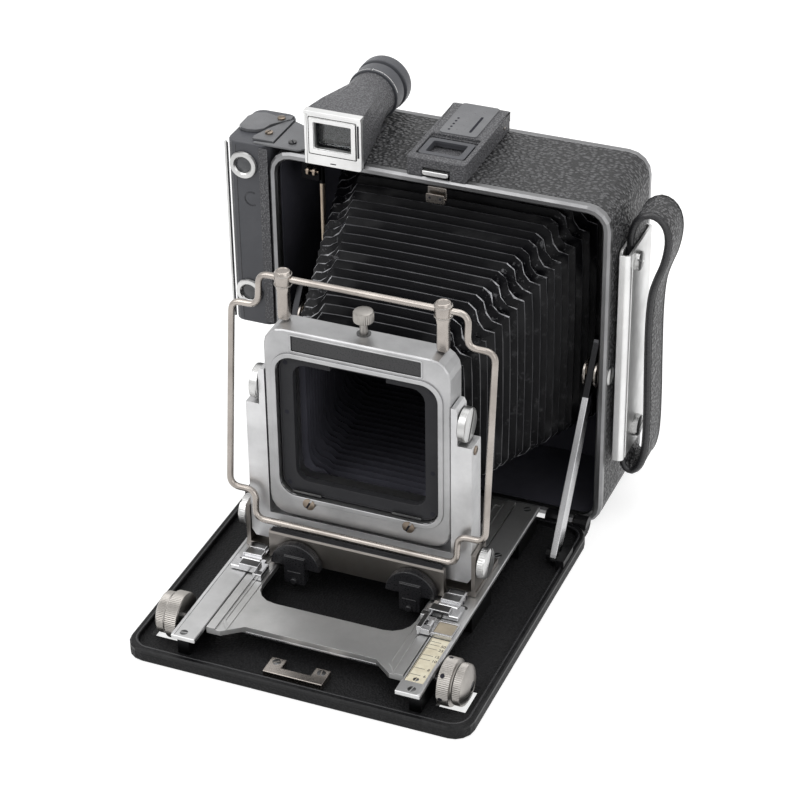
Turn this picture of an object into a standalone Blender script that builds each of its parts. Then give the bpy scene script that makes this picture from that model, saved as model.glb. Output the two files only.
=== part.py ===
# Press camera, modelled as separate pieces in metres, +Z up, front towards -Y.
# Working coordinates: X=0 on the body's middle plane, Y=0 on the front trim's face,
# Z=0 on the table.  The root empty then shifts everything so that the origin is the
# middle of the footprint.
import math

import bmesh
import bpy
from mathutils import Matrix, Vector

MM = 0.001
GAP = 0.3 * MM
SEAM = 0.4 * MM
BITE = 1 * MM
EMBED = 2 * MM
FINE_EDGE = 0.3 * MM
SOFT_EDGE = 0.8 * MM
ROUND_EDGE = 1.0 * MM

# Body casing
BODY_WIDTH = 165 * MM
BODY_HEIGHT = 168.8 * MM
BODY_DEPTH = 61 * MM
BODY_CORNER = 11 * MM
TRIM_DEPTH = 4 * MM
TRIM_FACE = 4 * MM
TRIM_ROUND = 1.1 * MM
LEATHER = 1.0 * MM
WALL = 3.0 * MM

# Bellows and its rear frame
BELLOWS_REAR_Y = 50 * MM
BELLOWS_REAR_HALF = 67 * MM
BELLOWS_REAR_LOW = 22 * MM
BELLOWS_TOP_MARGIN = 14.8 * MM
BELLOWS_FRONT_HALF = 37 * MM
BELLOWS_FRONT_LOW = 47 * MM
BELLOWS_FRONT_HIGH = 129 * MM
BELLOWS_CHAMFER = 13 * MM
BELLOWS_PLEATS = 18
PLEAT_DEPTH = 5.5 * MM
BELLOWS_CLOTH = 1.4 * MM
REAR_FRAME_DEPTH = 3.5 * MM

# Bed, hinge and drop
BED_WIDTH = 162.4 * MM
BED_FRONT = 170 * MM
BED_REAR = 10.5 * MM
BED_HEIGHT = 6.6 * MM
BED_FLOOR = 4 * MM
BED_RIM = 3.2 * MM
BED_CORNER = 9 * MM
HINGE_Y = -6.2 * MM
HINGE_Z = 4.6 * MM
HINGE_RADIUS = 3.9 * MM
HINGE_PIN = 1.4 * MM
HINGE_INNER = 58 * MM
HINGE_KNUCKLE = 7 * MM

# Guide rails on the bed
RAIL_INNER = 47 * MM
RAIL_OUTER = 58.5 * MM
RAIL_TOP = 16.8 * MM
RAIL_THICK = 2.2 * MM
RAIL_FRONT = 167 * MM
RAIL_REAR = 17 * MM
RAIL_BLOCK_LENGTH = 24 * MM
RAIL_BLOCK_INNER = 52 * MM
RAIL_BLOCK_INSET = 2 * MM
RAIL_BLOCK_FRONT = 7 * MM
SCALE_START = 127 * MM
SCALE_END = 158.5 * MM
SCALE_THICK = 0.7 * MM
SCALE_MARGIN = 1.2 * MM

# Focusing track with its racks
TRACK_HALF = 46.5 * MM
TRACK_FLANGE = 51 * MM
TRACK_TOP = 15.8 * MM
TRACK_THICK = 2.6 * MM
TRACK_RIDGE = 4 * MM
TRACK_OPEN_HALF = 37 * MM
TRACK_OPEN_FRONT = 129 * MM
TRACK_OPEN_REAR = 28 * MM
TRACK_BAR_FRONT = 149 * MM
TRACK_TIP = 156 * MM
TRACK_TIP_HALF = 40 * MM
TRACK_BAR_HALF = 31 * MM
TRACK_REAR = 17 * MM
TRACK_OPEN_CORNER = 11 * MM
TRACK_TRAVEL = 36 * MM

# Focus shaft, pinions and knobs
SHAFT_Y = -146 * MM
SHAFT_Z = 11.0 * MM
SHAFT_RADIUS = 1.5 * MM
PINION_TEETH = 8
PINION_PITCH = 3.0 * MM
PINION_TOOTH = 0.6 * MM
RACK_RELIEF = 0.25 * MM
RACK_GAP_SHARE = 0.34
PINION_INNER = 39.5 * MM
PINION_LENGTH = 5 * MM
KNOB_START = 61.3 * MM
KNOB_RING_LENGTH = 6.6 * MM
KNOB_RING_RADIUS = 10.8 * MM
KNOB_CAP_LENGTH = 6.2 * MM
KNOB_CAP_RADIUS = 9.5 * MM
KNOB_EDGE = 0.5 * MM
KNOB_DOME = 3 * MM
KNOB_HOLE_MARGIN = 1.2 * MM

# Bed catch
CATCH_LEFT = -16 * MM
CATCH_RIGHT = 12 * MM
CATCH_FRONT = 164.5 * MM
CATCH_DEPTH = 10.5 * MM
CATCH_BAR = 4.5 * MM
CATCH_ARM = 7 * MM
CATCH_THICK = 3 * MM

# Carriage with its squeeze grips
CARRIAGE_FRONT = 94 * MM
CARRIAGE_REAR = 66 * MM
CARRIAGE_THICK = 2.5 * MM
BAR_HALF = 42 * MM
BAR_FRONT = 98.5 * MM
BAR_THICK = 3 * MM
BAR_TOP = 31.5 * MM
EAR_THICK = 1.9 * MM
EAR_DEPTH = 13 * MM
JAW_LENGTH = 14 * MM
JAW_THICK = 1.8 * MM
JAW_LIP = 2.4 * MM
GRIP_X = 28 * MM
GRIP_RADIUS = 12 * MM
GRIP_THICK = 4 * MM
GRIP_STEM = 10 * MM
GRIP_LOW = 9 * MM
GRIP_TONGUE = 8 * MM
GRIP_TONGUE_RISE = 3 * MM
GRIP_TONGUE_HEIGHT = 3.4 * MM
GRIP_TRAVEL = 3 * MM

# Tilting yoke
TILT_Y = -87.5 * MM
TILT_Z = 32 * MM
YOKE_OUTER = 53.4 * MM
YOKE_DEPTH = 11 * MM
YOKE_LOW = 23 * MM
YOKE_TOP = 113 * MM
YOKE_STEP = 94.5 * MM
YOKE_EAR = 3 * MM
YOKE_SILL = 37.5 * MM
YOKE_CHAMFER = 2 * MM
TILT_PIN = 2 * MM
TILT_KNOB_RADIUS = 7.2 * MM
TILT_KNOB_LENGTH = 3 * MM
RISE_KNOB_RADIUS = 7.9 * MM
RISE_KNOB_LENGTH = 3 * MM
RISE_KNOB_Z = 103 * MM
RISE_PIN = 1.8 * MM

# Lens frame, seat and wire finder
FRAME_HALF = 43.5 * MM
FRAME_LOW = 38.5 * MM
FRAME_HIGH = 135.3 * MM
FRAME_FRONT = 93 * MM
FRAME_DEPTH = 14 * MM
FRAME_CORNER = 9 * MM
BEZEL_HALF = 38 * MM
BEZEL_LOW = 50 * MM
BEZEL_HIGH = 122 * MM
BEZEL_CORNER = 8 * MM
SEAT_DEPTH = 6 * MM
SEAT_HALF = 31 * MM
SEAT_LOW = 57 * MM
SEAT_HIGH = 117.5 * MM
SEAT_CORNER = 6 * MM
SEAT_THICK = 3.5 * MM
SEAT_LAND = 2 * MM
STRIP_HALF = 30 * MM
STRIP_LOW = 125.8 * MM
STRIP_HIGH = 132.8 * MM
STRIP_DEPTH = 1.0 * MM
LOCK_RADIUS = 4.6 * MM
LOCK_HEIGHT = 5.5 * MM
LOCK_STEM = 1.8 * MM
LOCK_STEM_RISE = 6 * MM
POST_X = 37 * MM
POST_Y = -84 * MM
POST_RADIUS = 2.9 * MM
POST_HEAD = 4.2 * MM
POST_SHOULDER = 1.2 * MM
WIRE_TOP_Z = 155.5 * MM
WIRE_RADIUS = 1.5 * MM
WIRE_HALF = 61.3 * MM
WIRE_SHOULDER_Z = 140.5 * MM
WIRE_FOOT_Z = 50.5 * MM
WIRE_BOTTOM_Z = 36.7 * MM
WIRE_BOTTOM_Y = -98.6 * MM
WIRE_TOP_JOG = 48.5 * MM
WIRE_BOTTOM_JOG = 48.5 * MM
WIRE_BEND = 5 * MM

# Folding infinity stops and scale reader
STOP_INNER = 41 * MM
STOP_OUTER = 55 * MM
STOP_FRONT = 113.5 * MM
STOP_BASE_DEPTH = 6 * MM
STOP_THICK = 2.2 * MM
STOP_PIVOT_RADIUS = 1.1 * MM
STOP_PIN = 0.66 * MM
STOP_EAR = 2 * MM
READER_FRONT = 127 * MM
READER_DEPTH = 10 * MM
READER_OUTER = 57.5 * MM
READER_THICK = 1.2 * MM
READER_RIM = 1.6 * MM

# Folding bed struts
STRUT_X = 74 * MM
STRUT_THICK = 3 * MM
STRUT_WIDTH = 7.6 * MM
STRUT_FOOT_Y = -39 * MM
STRUT_FOOT_Z = 8.3 * MM
STRUT_LUG = 5 * MM
STRUT_LUG_HALF = 6.5 * MM
STRUT_LUG_CROWN = 1.7 * MM
STRUT_STUD_Y = 8 * MM
STRUT_STUD_Z = 81 * MM
STRUT_PIN = 1.5 * MM
STRUT_SLIDE = 8.5 * MM
STRUT_ROLLER = 4.2 * MM
STRUT_PLAY = 0.6 * MM

# Sight housing on the top, with its release
HOUSING_HALF = 14.2 * MM
HOUSING_FRONT = 2.5 * MM
HOUSING_REAR = 57 * MM
HOUSING_HEIGHT = 7.4 * MM
HOUSING_RECESS = 2.6 * MM
HOUSING_EDGE = 1.2 * MM
SIGHT_FRONT = 6 * MM
SIGHT_REAR = 25 * MM
SIGHT_HALF = 11.2 * MM
SIGHT_THICK = 1.8 * MM
SIGHT_RIM = 3.4 * MM
SIGHT_PIVOT = 1.0 * MM
SIGHT_TRUNNION = 1.2 * MM
SIGHT_PLATE_GAP = 3 * MM
SIGHT_CORNER = 1.5 * MM
SIGHT_WINDOW_CORNER = 1.0 * MM
PLATE_REAR = 54 * MM
PLATE_HALF = 9.5 * MM
PLATE_THICK = 1.2 * MM
BUTTON_HALF = 5.8 * MM
BUTTON_HEIGHT = 4.2 * MM
BUTTON_PROUD = 1.6 * MM
BUTTON_TRAVEL = 2 * MM
LATCH_HALF = 4.5 * MM
LATCH_DROP = 7 * MM
LATCH_THICK = 1.6 * MM
LATCH_LENGTH = 12 * MM

# Optical finder on the top left
FINDER_X = -48.5 * MM
FINDER_HALF = 14 * MM
FINDER_RISE = 0.5 * MM
FINDER_HEIGHT = 24.2 * MM
FINDER_FRONT = -2.8 * MM
FINDER_PLATE = 2.4 * MM
FINDER_PLATE_DROP = 2.2 * MM
FINDER_WINDOW_HALF = 9 * MM
FINDER_WINDOW_RISE = 6.2 * MM
FINDER_WINDOW_HEIGHT = 13 * MM
FINDER_WINDOW_CORNER = 0.8 * MM
FINDER_CORNER = 1.5 * MM
FINDER_LENS_THICK = 2 * MM
FINDER_WALL = 2 * MM
FINDER_TUBE_RADIUS = 11.5 * MM
FINDER_TUBE_RISE = 13.3 * MM
FINDER_TUBE_END = 43 * MM
EYEPIECE_RADIUS = 13 * MM
EYEPIECE_END = 61 * MM
EYEPIECE_GRIP = 9 * MM
EYEPIECE_BORE = 8 * MM
FINDER_SADDLE = 8 * MM
FINDER_SADDLE_BITE = 1.2 * MM
EYEPIECE_GROOVE = 2.2 * MM
EYEPIECE_GROOVE_WIDTH = 1.5 * MM
EYEPIECE_STEP = 0.6 * MM

# Coupled rangefinder on the left side
RF_REACH = 104.3 * MM
RF_LOW = 74 * MM
RF_RISE = 0.7 * MM
RF_FRONT = 1 * MM
RF_REAR = 36 * MM
RF_CORNER = 5 * MM
RF_WINDOW_X = -95.3 * MM
RF_WINDOW_LOW = 91 * MM
RF_WINDOW_DROP = 11 * MM
RF_RING_OUTER = 6.8 * MM
RF_RING_INNER = 3.9 * MM
RF_RING_PROUD = 1.6 * MM
RF_RING_SEAT = 1.2 * MM
RF_POCKET = 4 * MM
ROD_X = -61 * MM
ROD_Y = 12 * MM
ROD_RADIUS = 1.3 * MM
ROD_LENGTH = 42.5 * MM
ROD_TOP_GAP = 4 * MM
ROD_BRACKET_LENGTH = 9 * MM
ROD_BRACKET_HEIGHT = 12.5 * MM
ROD_BRACKET_HALF = 3 * MM

# Hand strap on the right side
STRAP_WIDTH = 21 * MM
STRAP_Y = 27 * MM
STRAP_THICK = 3.6 * MM
STRAP_REACH = 104.3 * MM
STRAP_PLATE_HALF = 14 * MM
STRAP_PLATE_LOW = 30 * MM
STRAP_PLATE_MARGIN = 26.8 * MM
STRAP_PLATE_CORNER = 3 * MM
STRAP_PLATE_EDGE = 0.4 * MM
STRAP_PLATE_THICK = 1.6 * MM
STRAP_TOP_MARGIN = 4.8 * MM
STRAP_BOTTOM = 19 * MM
STRAP_END_REACH = 44 * MM
STRAP_END_LOW = 48 * MM
STRAP_FOOT_GAP = 2.9 * MM
STRAP_SWELL = 0.2 * MM
STRAP_BOW = ((0.9, 0.78), (0.55, 0.46), (0.05, 0.13))
STRAP_STEPS = 2

# Revolving back
BACK_SIZE = 150 * MM
BACK_CORNER = 28 * MM
BACK_DEPTH = 8.5 * MM
BACK_FILM_HALF = 52 * MM
BACK_FILM_HALF_HIGH = 64.5 * MM
PANEL_HALF = 60 * MM
PANEL_HALF_HIGH = 71 * MM
PANEL_DEPTH = 8 * MM
PANEL_CORNER = 5 * MM
GLASS_MARGIN = 3 * MM
GLASS_THICK = 2 * MM
HOOD_DEPTH = 6 * MM
HOOD_SHEET = 1.6 * MM
HOOD_INSET = 3 * MM

# Tripod bush under the body
BUSH_RADIUS = 9 * MM
BUSH_BORE = 3.2 * MM
BUSH_Y = 30 * MM

ARC_STEPS = 4
ROUND_STEPS = 20

# Derived places
BODY_MID_Z = BODY_HEIGHT / 2
BELLOWS_REAR_HIGH = BODY_HEIGHT - BELLOWS_TOP_MARGIN
FINDER_LOW = BODY_HEIGHT + FINDER_RISE
FINDER_HIGH = FINDER_LOW + FINDER_HEIGHT
FINDER_WINDOW_LOW = FINDER_LOW + FINDER_WINDOW_RISE
FINDER_WINDOW_HIGH = FINDER_WINDOW_LOW + FINDER_WINDOW_HEIGHT
FINDER_TUBE_Z = FINDER_LOW + FINDER_TUBE_RISE
RF_HIGH = BODY_HEIGHT + RF_RISE
RF_WINDOW_HIGH = RF_HIGH - RF_WINDOW_DROP
STRAP_TOP = BODY_HEIGHT - STRAP_TOP_MARGIN
STRAP_PLATE_HIGH = BODY_HEIGHT - STRAP_PLATE_MARGIN
SHELL_FRONT = TRIM_DEPTH + GAP
SHELL_REAR = BODY_DEPTH - TRIM_DEPTH - GAP
SHELL_INSET = LEATHER + GAP
INNER_INSET = SHELL_INSET + WALL
BODY_SIDE = BODY_WIDTH / 2
RAIL_LOW = RAIL_TOP - RAIL_THICK
TRACK_LOW = TRACK_TOP - TRACK_THICK
RACK_TIP = SHAFT_Z + PINION_PITCH - PINION_TOOTH + RACK_RELIEF
CARRIAGE_LOW = RAIL_TOP + GAP
CARRIAGE_TOP = CARRIAGE_LOW + CARRIAGE_THICK
CARRIAGE_HALF = YOKE_OUTER + GAP + EAR_THICK + SEAM
FRAME_BACK = -FRAME_FRONT + FRAME_DEPTH
YOKE_INNER = FRAME_HALF + GAP
YOKE_FRONT = TILT_Y - YOKE_DEPTH / 2
YOKE_BACK = TILT_Y + YOKE_DEPTH / 2
BACK_REAR = BODY_DEPTH + GAP + BACK_DEPTH
PANEL_FRONT = BACK_REAR + GAP
HOOD_FRONT = PANEL_FRONT + PANEL_DEPTH + GAP
REAR_REACH = HOOD_FRONT + HOOD_DEPTH
HOUSING_TOP = BODY_HEIGHT + GAP + HOUSING_HEIGHT
SHIFT = Vector((0.5 * (RF_REACH - STRAP_REACH), 0.5 * (BED_FRONT - REAR_REACH), 0.0))

for old in list(bpy.data.objects):
    bpy.data.objects.remove(old, do_unlink=True)

PARTS = bpy.data.collections.new("press_camera")
CUTTERS = bpy.data.collections.new("cutters")
for group in (PARTS, CUTTERS):
    bpy.context.scene.collection.children.link(group)


def material(name, colour, roughness, metallic):
    """A plain Principled material."""
    made = bpy.data.materials.new(name)
    made.use_nodes = True
    shader = made.node_tree.nodes["Principled BSDF"]
    shader.inputs["Base Color"].default_value = (*colour, 1.0)
    shader.inputs["Roughness"].default_value = roughness
    shader.inputs["Metallic"].default_value = metallic
    return made


ALUMINIUM = material("satin_aluminium", (0.55, 0.55, 0.54), 0.38, 1.0)
NICKEL = material("warm_nickel", (0.56, 0.52, 0.46), 0.3, 1.0)
CHROME = material("chrome", (0.68, 0.68, 0.68), 0.12, 1.0)
BRASS = material("brass", (0.5, 0.38, 0.2), 0.35, 1.0)
LEATHERETTE = material("black_leatherette", (0.02, 0.02, 0.021), 0.55, 0.0)
PAINT = material("black_crinkle_paint", (0.012, 0.012, 0.013), 0.6, 0.0)
MATT = material("matt_black", (0.006, 0.006, 0.007), 0.8, 0.0)
CLOTH = material("bellows_cloth", (0.012, 0.012, 0.014), 0.6, 0.0)
IVORY = material("ivory_scale", (0.72, 0.68, 0.55), 0.5, 0.0)
GLASS = material("clear_glass", (0.75, 0.8, 0.82), 0.05, 0.0)

ROOT = bpy.data.objects.new("camera_root", None)
PARTS.objects.link(ROOT)


def carrier(name, place, parent):
    """An empty on a joint's axis that carries one moving body."""
    empty = bpy.data.objects.new(name, None)
    PARTS.objects.link(empty)
    empty.parent = parent
    empty.location = Vector(place) - parent_place(parent)
    empty["place"] = [float(value) for value in place]
    return empty


def parent_place(parent):
    """The working-coordinate place of a carrier."""
    return Vector(parent["place"]) if "place" in parent else Vector((0, 0, 0))


def own(obj, finish, body=None, group=PARTS):
    """Put an object built in working coordinates on its carrier."""
    group.objects.link(obj)
    if finish is not None:
        obj.data.materials.append(finish)
    holder = body or ROOT
    obj.parent = holder
    obj.location = obj.location - parent_place(holder)
    return obj


def hide(obj):
    """Turn an object into a hidden cutter."""
    obj.hide_render = True
    obj.display_type = "WIRE"
    return obj


def smooth(mesh):
    """Smooth shading with sharp edges kept."""
    mesh.shade_smooth()
    mesh.set_sharp_from_angle(angle=math.radians(35))


def mesh_of(bm, name):
    """Close a bmesh into a mesh with outward faces."""
    bmesh.ops.recalc_face_normals(bm, faces=bm.faces)
    mesh = bpy.data.meshes.new(name)
    bm.to_mesh(mesh)
    bm.free()
    smooth(mesh)
    return mesh


def box(name, low, high, finish=None, body=None, group=PARTS, bevel=0.0):
    """A block between two corners, with optional rounded edges."""
    bm = bmesh.new()
    low = Vector(low)
    high = Vector(high)
    size = high - low
    middle = (high + low) / 2
    place = Matrix.Translation(middle) @ Matrix.Diagonal((*size, 1.0))
    bmesh.ops.create_cube(bm, size=1.0, matrix=place)
    obj = bpy.data.objects.new(name, mesh_of(bm, name))
    own(obj, finish, body, group)
    if bevel:
        rounding = obj.modifiers.new("rounded_edges", "BEVEL")
        rounding.width = bevel
        rounding.segments = 1
        rounding.limit_method = "ANGLE"
    return obj


AXES = {
    "X": Matrix(((0, 0, 1, 0), (1, 0, 0, 0), (0, 1, 0, 0), (0, 0, 0, 1))),
    "Y": Matrix(((1, 0, 0, 0), (0, 0, -1, 0), (0, 1, 0, 0), (0, 0, 0, 1))),
    "Z": Matrix.Identity(4),
}
AXIS_DIRECTION = {"X": Vector((1, 0, 0)), "Y": Vector((0, 1, 0)), "Z": Vector((0, 0, 1))}


def prism(name, loops, axis, start, end, finish=None, body=None, group=PARTS, bevel=0.0):
    """A flat outline with holes, drawn across an axis and extruded along it."""
    curve = bpy.data.curves.new(name + "_outline", "CURVE")
    curve.dimensions = "2D"
    curve.fill_mode = "BOTH"
    curve.extrude = abs(end - start) / 2
    for loop in loops:
        spline = curve.splines.new("POLY")
        spline.points.add(len(loop) - 1)
        for point, (u, v) in zip(spline.points, loop):
            point.co = (u, v, 0, 1)
        spline.use_cyclic_u = True
    outline = bpy.data.objects.new(name + "_outline", curve)
    PARTS.objects.link(outline)
    bpy.context.view_layer.update()
    graph = bpy.context.evaluated_depsgraph_get()
    mesh = bpy.data.meshes.new_from_object(outline.evaluated_get(graph))
    bpy.data.objects.remove(outline, do_unlink=True)
    bm = bmesh.new()
    bm.from_mesh(mesh)
    bpy.data.meshes.remove(mesh)
    bmesh.ops.remove_doubles(bm, verts=bm.verts, dist=1e-6)
    place = Matrix.Translation(AXIS_DIRECTION[axis] * (start + end) / 2) @ AXES[axis]
    bmesh.ops.transform(bm, matrix=place, verts=bm.verts)
    obj = bpy.data.objects.new(name, mesh_of(bm, name))
    own(obj, finish, body, group)
    if bevel:
        rounding = obj.modifiers.new("rounded_edges", "BEVEL")
        rounding.width = bevel
        rounding.segments = 1
        rounding.limit_method = "ANGLE"
        rounding.angle_limit = math.radians(40)
    return obj


def arc(centre, radius, start, end, steps=ARC_STEPS):
    """Points along an arc, angles in degrees."""
    points = []
    for index in range(steps + 1):
        angle = math.radians(start + (end - start) * index / steps)
        points.append((centre[0] + radius * math.cos(angle), centre[1] + radius * math.sin(angle)))
    return points


def rounded(low_u, low_v, high_u, high_v, radius):
    """A rectangle with round corners, counter-clockwise."""
    points = arc((high_u - radius, high_v - radius), radius, 0, 90)
    points += arc((low_u + radius, high_v - radius), radius, 90, 180)
    points += arc((low_u + radius, low_v + radius), radius, 180, 270)
    points += arc((high_u - radius, low_v + radius), radius, 270, 360)
    return points


def circle(centre, radius, steps=ROUND_STEPS):
    """A closed circle of points."""
    return arc(centre, radius, 0, 360 - 360 / steps, steps - 1)


def rod(name, axis, centre, start, end, radius, finish=None, body=None, group=PARTS, steps=16):
    """A plain round bar along an axis; centre is its place across that axis."""
    bm = bmesh.new()
    bmesh.ops.create_cone(bm, cap_ends=True, cap_tris=False, segments=steps,
                          radius1=radius, radius2=radius, depth=abs(end - start))
    across = AXES[axis] @ Vector((centre[0], centre[1], 0))
    place = Matrix.Translation(across + AXIS_DIRECTION[axis] * (start + end) / 2) @ AXES[axis]
    bmesh.ops.transform(bm, matrix=place, verts=bm.verts)
    obj = bpy.data.objects.new(name, mesh_of(bm, name))
    return own(obj, finish, body, group)


def turned(name, axis, centre, profile, finish, body=None, steps=ROUND_STEPS):
    """A turned piece: (radius, distance) pairs from its far end to its near end."""
    bm = bmesh.new()
    ring = profile[0] == profile[-1]
    points = [bm.verts.new((radius, 0, along)) for radius, along in (profile[:-1] if ring else profile)]
    for first, second in zip(points, points[1:] + points[:1] if ring else points[1:]):
        bm.edges.new((first, second))
    mesh = bpy.data.meshes.new(name)
    bm.to_mesh(mesh)
    bm.free()
    obj = bpy.data.objects.new(name, mesh)
    across = AXES[axis] @ Vector((centre[0], centre[1], 0))
    obj.location = across
    obj.rotation_euler = AXES[axis].to_euler()
    own(obj, finish, body)
    spin = obj.modifiers.new("turned", "SCREW")
    spin.steps = steps
    spin.render_steps = steps
    spin.use_merge_vertices = True
    spin.merge_threshold = 1e-6
    spin.use_smooth_shade = True
    return obj


def boolean(obj, tool, operation):
    """Cut or join with a hidden tool."""
    change = obj.modifiers.new(operation.lower(), "BOOLEAN")
    change.operation = operation
    change.object = hide(tool)
    change.solver = "EXACT"
    return obj


def cut(obj, tool):
    """Take a hidden tool's shape out of an object."""
    return boolean(obj, tool, "DIFFERENCE")


def fuse(obj, tool):
    """Join a hidden tool's shape to an object."""
    return boolean(obj, tool, "UNION")


def cut_box(obj, low, high):
    """Cut a block out of an object."""
    return cut(obj, box(obj.name + "_cut", low, high, group=CUTTERS))


def fuse_box(obj, low, high):
    """Join a block to an object."""
    return fuse(obj, box(obj.name + "_add", low, high, group=CUTTERS))


def cut_rod(obj, axis, centre, start, end, radius, steps=16):
    """Drill a round hole."""
    return cut(obj, rod(obj.name + "_hole", axis, centre, start, end, radius, group=CUTTERS, steps=steps))


def fuse_rod(obj, axis, centre, start, end, radius, steps=16):
    """Join a round bar."""
    return fuse(obj, rod(obj.name + "_pin", axis, centre, start, end, radius, group=CUTTERS, steps=steps))


def mirrored(low, high, side):
    """Both corners of a block on the left or right side, in order."""
    near, far = sorted((side * low[0], side * high[0]))
    return (near, low[1], low[2]), (far, high[1], high[2])


def body_outline(inset):
    """The body's rounded outline, moved in by a distance."""
    radius = BODY_CORNER - inset
    return rounded(-BODY_SIDE + inset, inset, BODY_SIDE - inset, BODY_HEIGHT - inset, radius)


SIDES = (("left", -1), ("right", 1))


def build_casing():
    """Shell, leather wrap, both trims, bellows frame and tripod bush."""
    shell = prism("body_shell", [body_outline(SHELL_INSET), body_outline(INNER_INSET)],
                  "Y", SHELL_FRONT, SHELL_REAR, MATT)
    leather = prism("leather_wrap", [body_outline(0), body_outline(LEATHER)],
                    "Y", SHELL_FRONT, SHELL_REAR, LEATHERETTE)
    front = trim_frame("front_trim", 0, TRIM_DEPTH)
    trim_frame("rear_trim", BODY_DEPTH, BODY_DEPTH - TRIM_DEPTH)
    for side in (-1, 1):
        low, high = mirrored((HINGE_INNER + HINGE_KNUCKLE + GAP, HINGE_Y, GAP),
                             (HINGE_INNER + 2 * HINGE_KNUCKLE - GAP, TRIM_DEPTH / 2, HINGE_Z), side)
        fuse_box(front, low, high)
        fuse_rod(front, "X", (HINGE_Y, HINGE_Z), low[0], high[0], HINGE_RADIUS, steps=12)
        cut_rod(front, "X", (HINGE_Y, HINGE_Z), low[0] - GAP, high[0] + GAP, HINGE_PIN + GAP, steps=10)
    frame_inset = INNER_INSET + GAP
    hole = bellows_section(BELLOWS_REAR_Y, -BELLOWS_CLOTH)
    prism("bellows_frame", [body_outline(frame_inset), hole], "Y",
          BELLOWS_REAR_Y + GAP, BELLOWS_REAR_Y + GAP + REAR_FRAME_DEPTH, MATT)
    bush_top = INNER_INSET - GAP
    bush = rod("tripod_bush", "Z", (0, BUSH_Y), 0, bush_top, BUSH_RADIUS, NICKEL, steps=ROUND_STEPS)
    cut_rod(bush, "Z", (0, BUSH_Y), -GAP, bush_top * 0.8, BUSH_BORE)
    for wall in (shell, leather):
        cut_rod(wall, "Z", (0, BUSH_Y), -GAP, INNER_INSET + GAP, BUSH_RADIUS + GAP, steps=ROUND_STEPS)
    return shell


def bellows_section(y, spread):
    """The bellows' chamfered section at a depth, spread outwards by a distance."""
    share = (BELLOWS_REAR_Y - y) / (BELLOWS_REAR_Y - FRAME_BACK - GAP)
    half = BELLOWS_REAR_HALF + share * (BELLOWS_FRONT_HALF - BELLOWS_REAR_HALF) + spread
    low = BELLOWS_REAR_LOW + share * (BELLOWS_FRONT_LOW - BELLOWS_REAR_LOW) - spread
    high = BELLOWS_REAR_HIGH + share * (BELLOWS_FRONT_HIGH - BELLOWS_REAR_HIGH) + spread
    chamfer = BELLOWS_CHAMFER + 0.4 * spread
    return [(half - chamfer, low), (half, low + chamfer), (half, high - chamfer), (half - chamfer, high),
            (chamfer - half, high), (-half, high - chamfer), (-half, low + chamfer), (chamfer - half, low)]


def sleeve(name, sections, finish):
    """A closed sleeve: sections run along its outside and back along its inside."""
    bm = bmesh.new()
    loops = [[bm.verts.new((u, y, v)) for u, v in outline] for y, outline in sections]
    count = len(loops[0])
    for ring, following in zip(loops, loops[1:] + loops[:1]):
        for index in range(count):
            after = (index + 1) % count
            bm.faces.new((ring[index], ring[after], following[after], following[index]))
    obj = bpy.data.objects.new(name, mesh_of(bm, name))
    return own(obj, finish)


def trim_frame(name, face, back):
    """A metal trim frame whose two front edges are rounded off."""
    step = TRIM_ROUND if back > face else -TRIM_ROUND
    places = ((back, 0), (face + step, 0), (face, TRIM_ROUND), (face, TRIM_FACE - TRIM_ROUND),
              (face + step, TRIM_FACE), (back, TRIM_FACE))
    return sleeve(name, [(y, body_outline(inset)) for y, inset in places], ALUMINIUM)


def build_bellows():
    """The pleated, tapered bellows with its light path, as one closed sleeve."""
    stations = 2 * BELLOWS_PLEATS + 1
    front = FRAME_BACK + GAP
    rings = []
    for index in range(stations):
        y = BELLOWS_REAR_Y + (front - BELLOWS_REAR_Y) * index / (stations - 1)
        spread = 0.0 if index % 2 == 0 else -PLEAT_DEPTH
        rings.append((y, spread))
    sections = [(y, bellows_section(y, spread)) for y, spread in rings]
    sections += [(y, bellows_section(y, spread - BELLOWS_CLOTH)) for y, spread in reversed(rings)]
    sleeve("bellows", sections, CLOTH)


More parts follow.
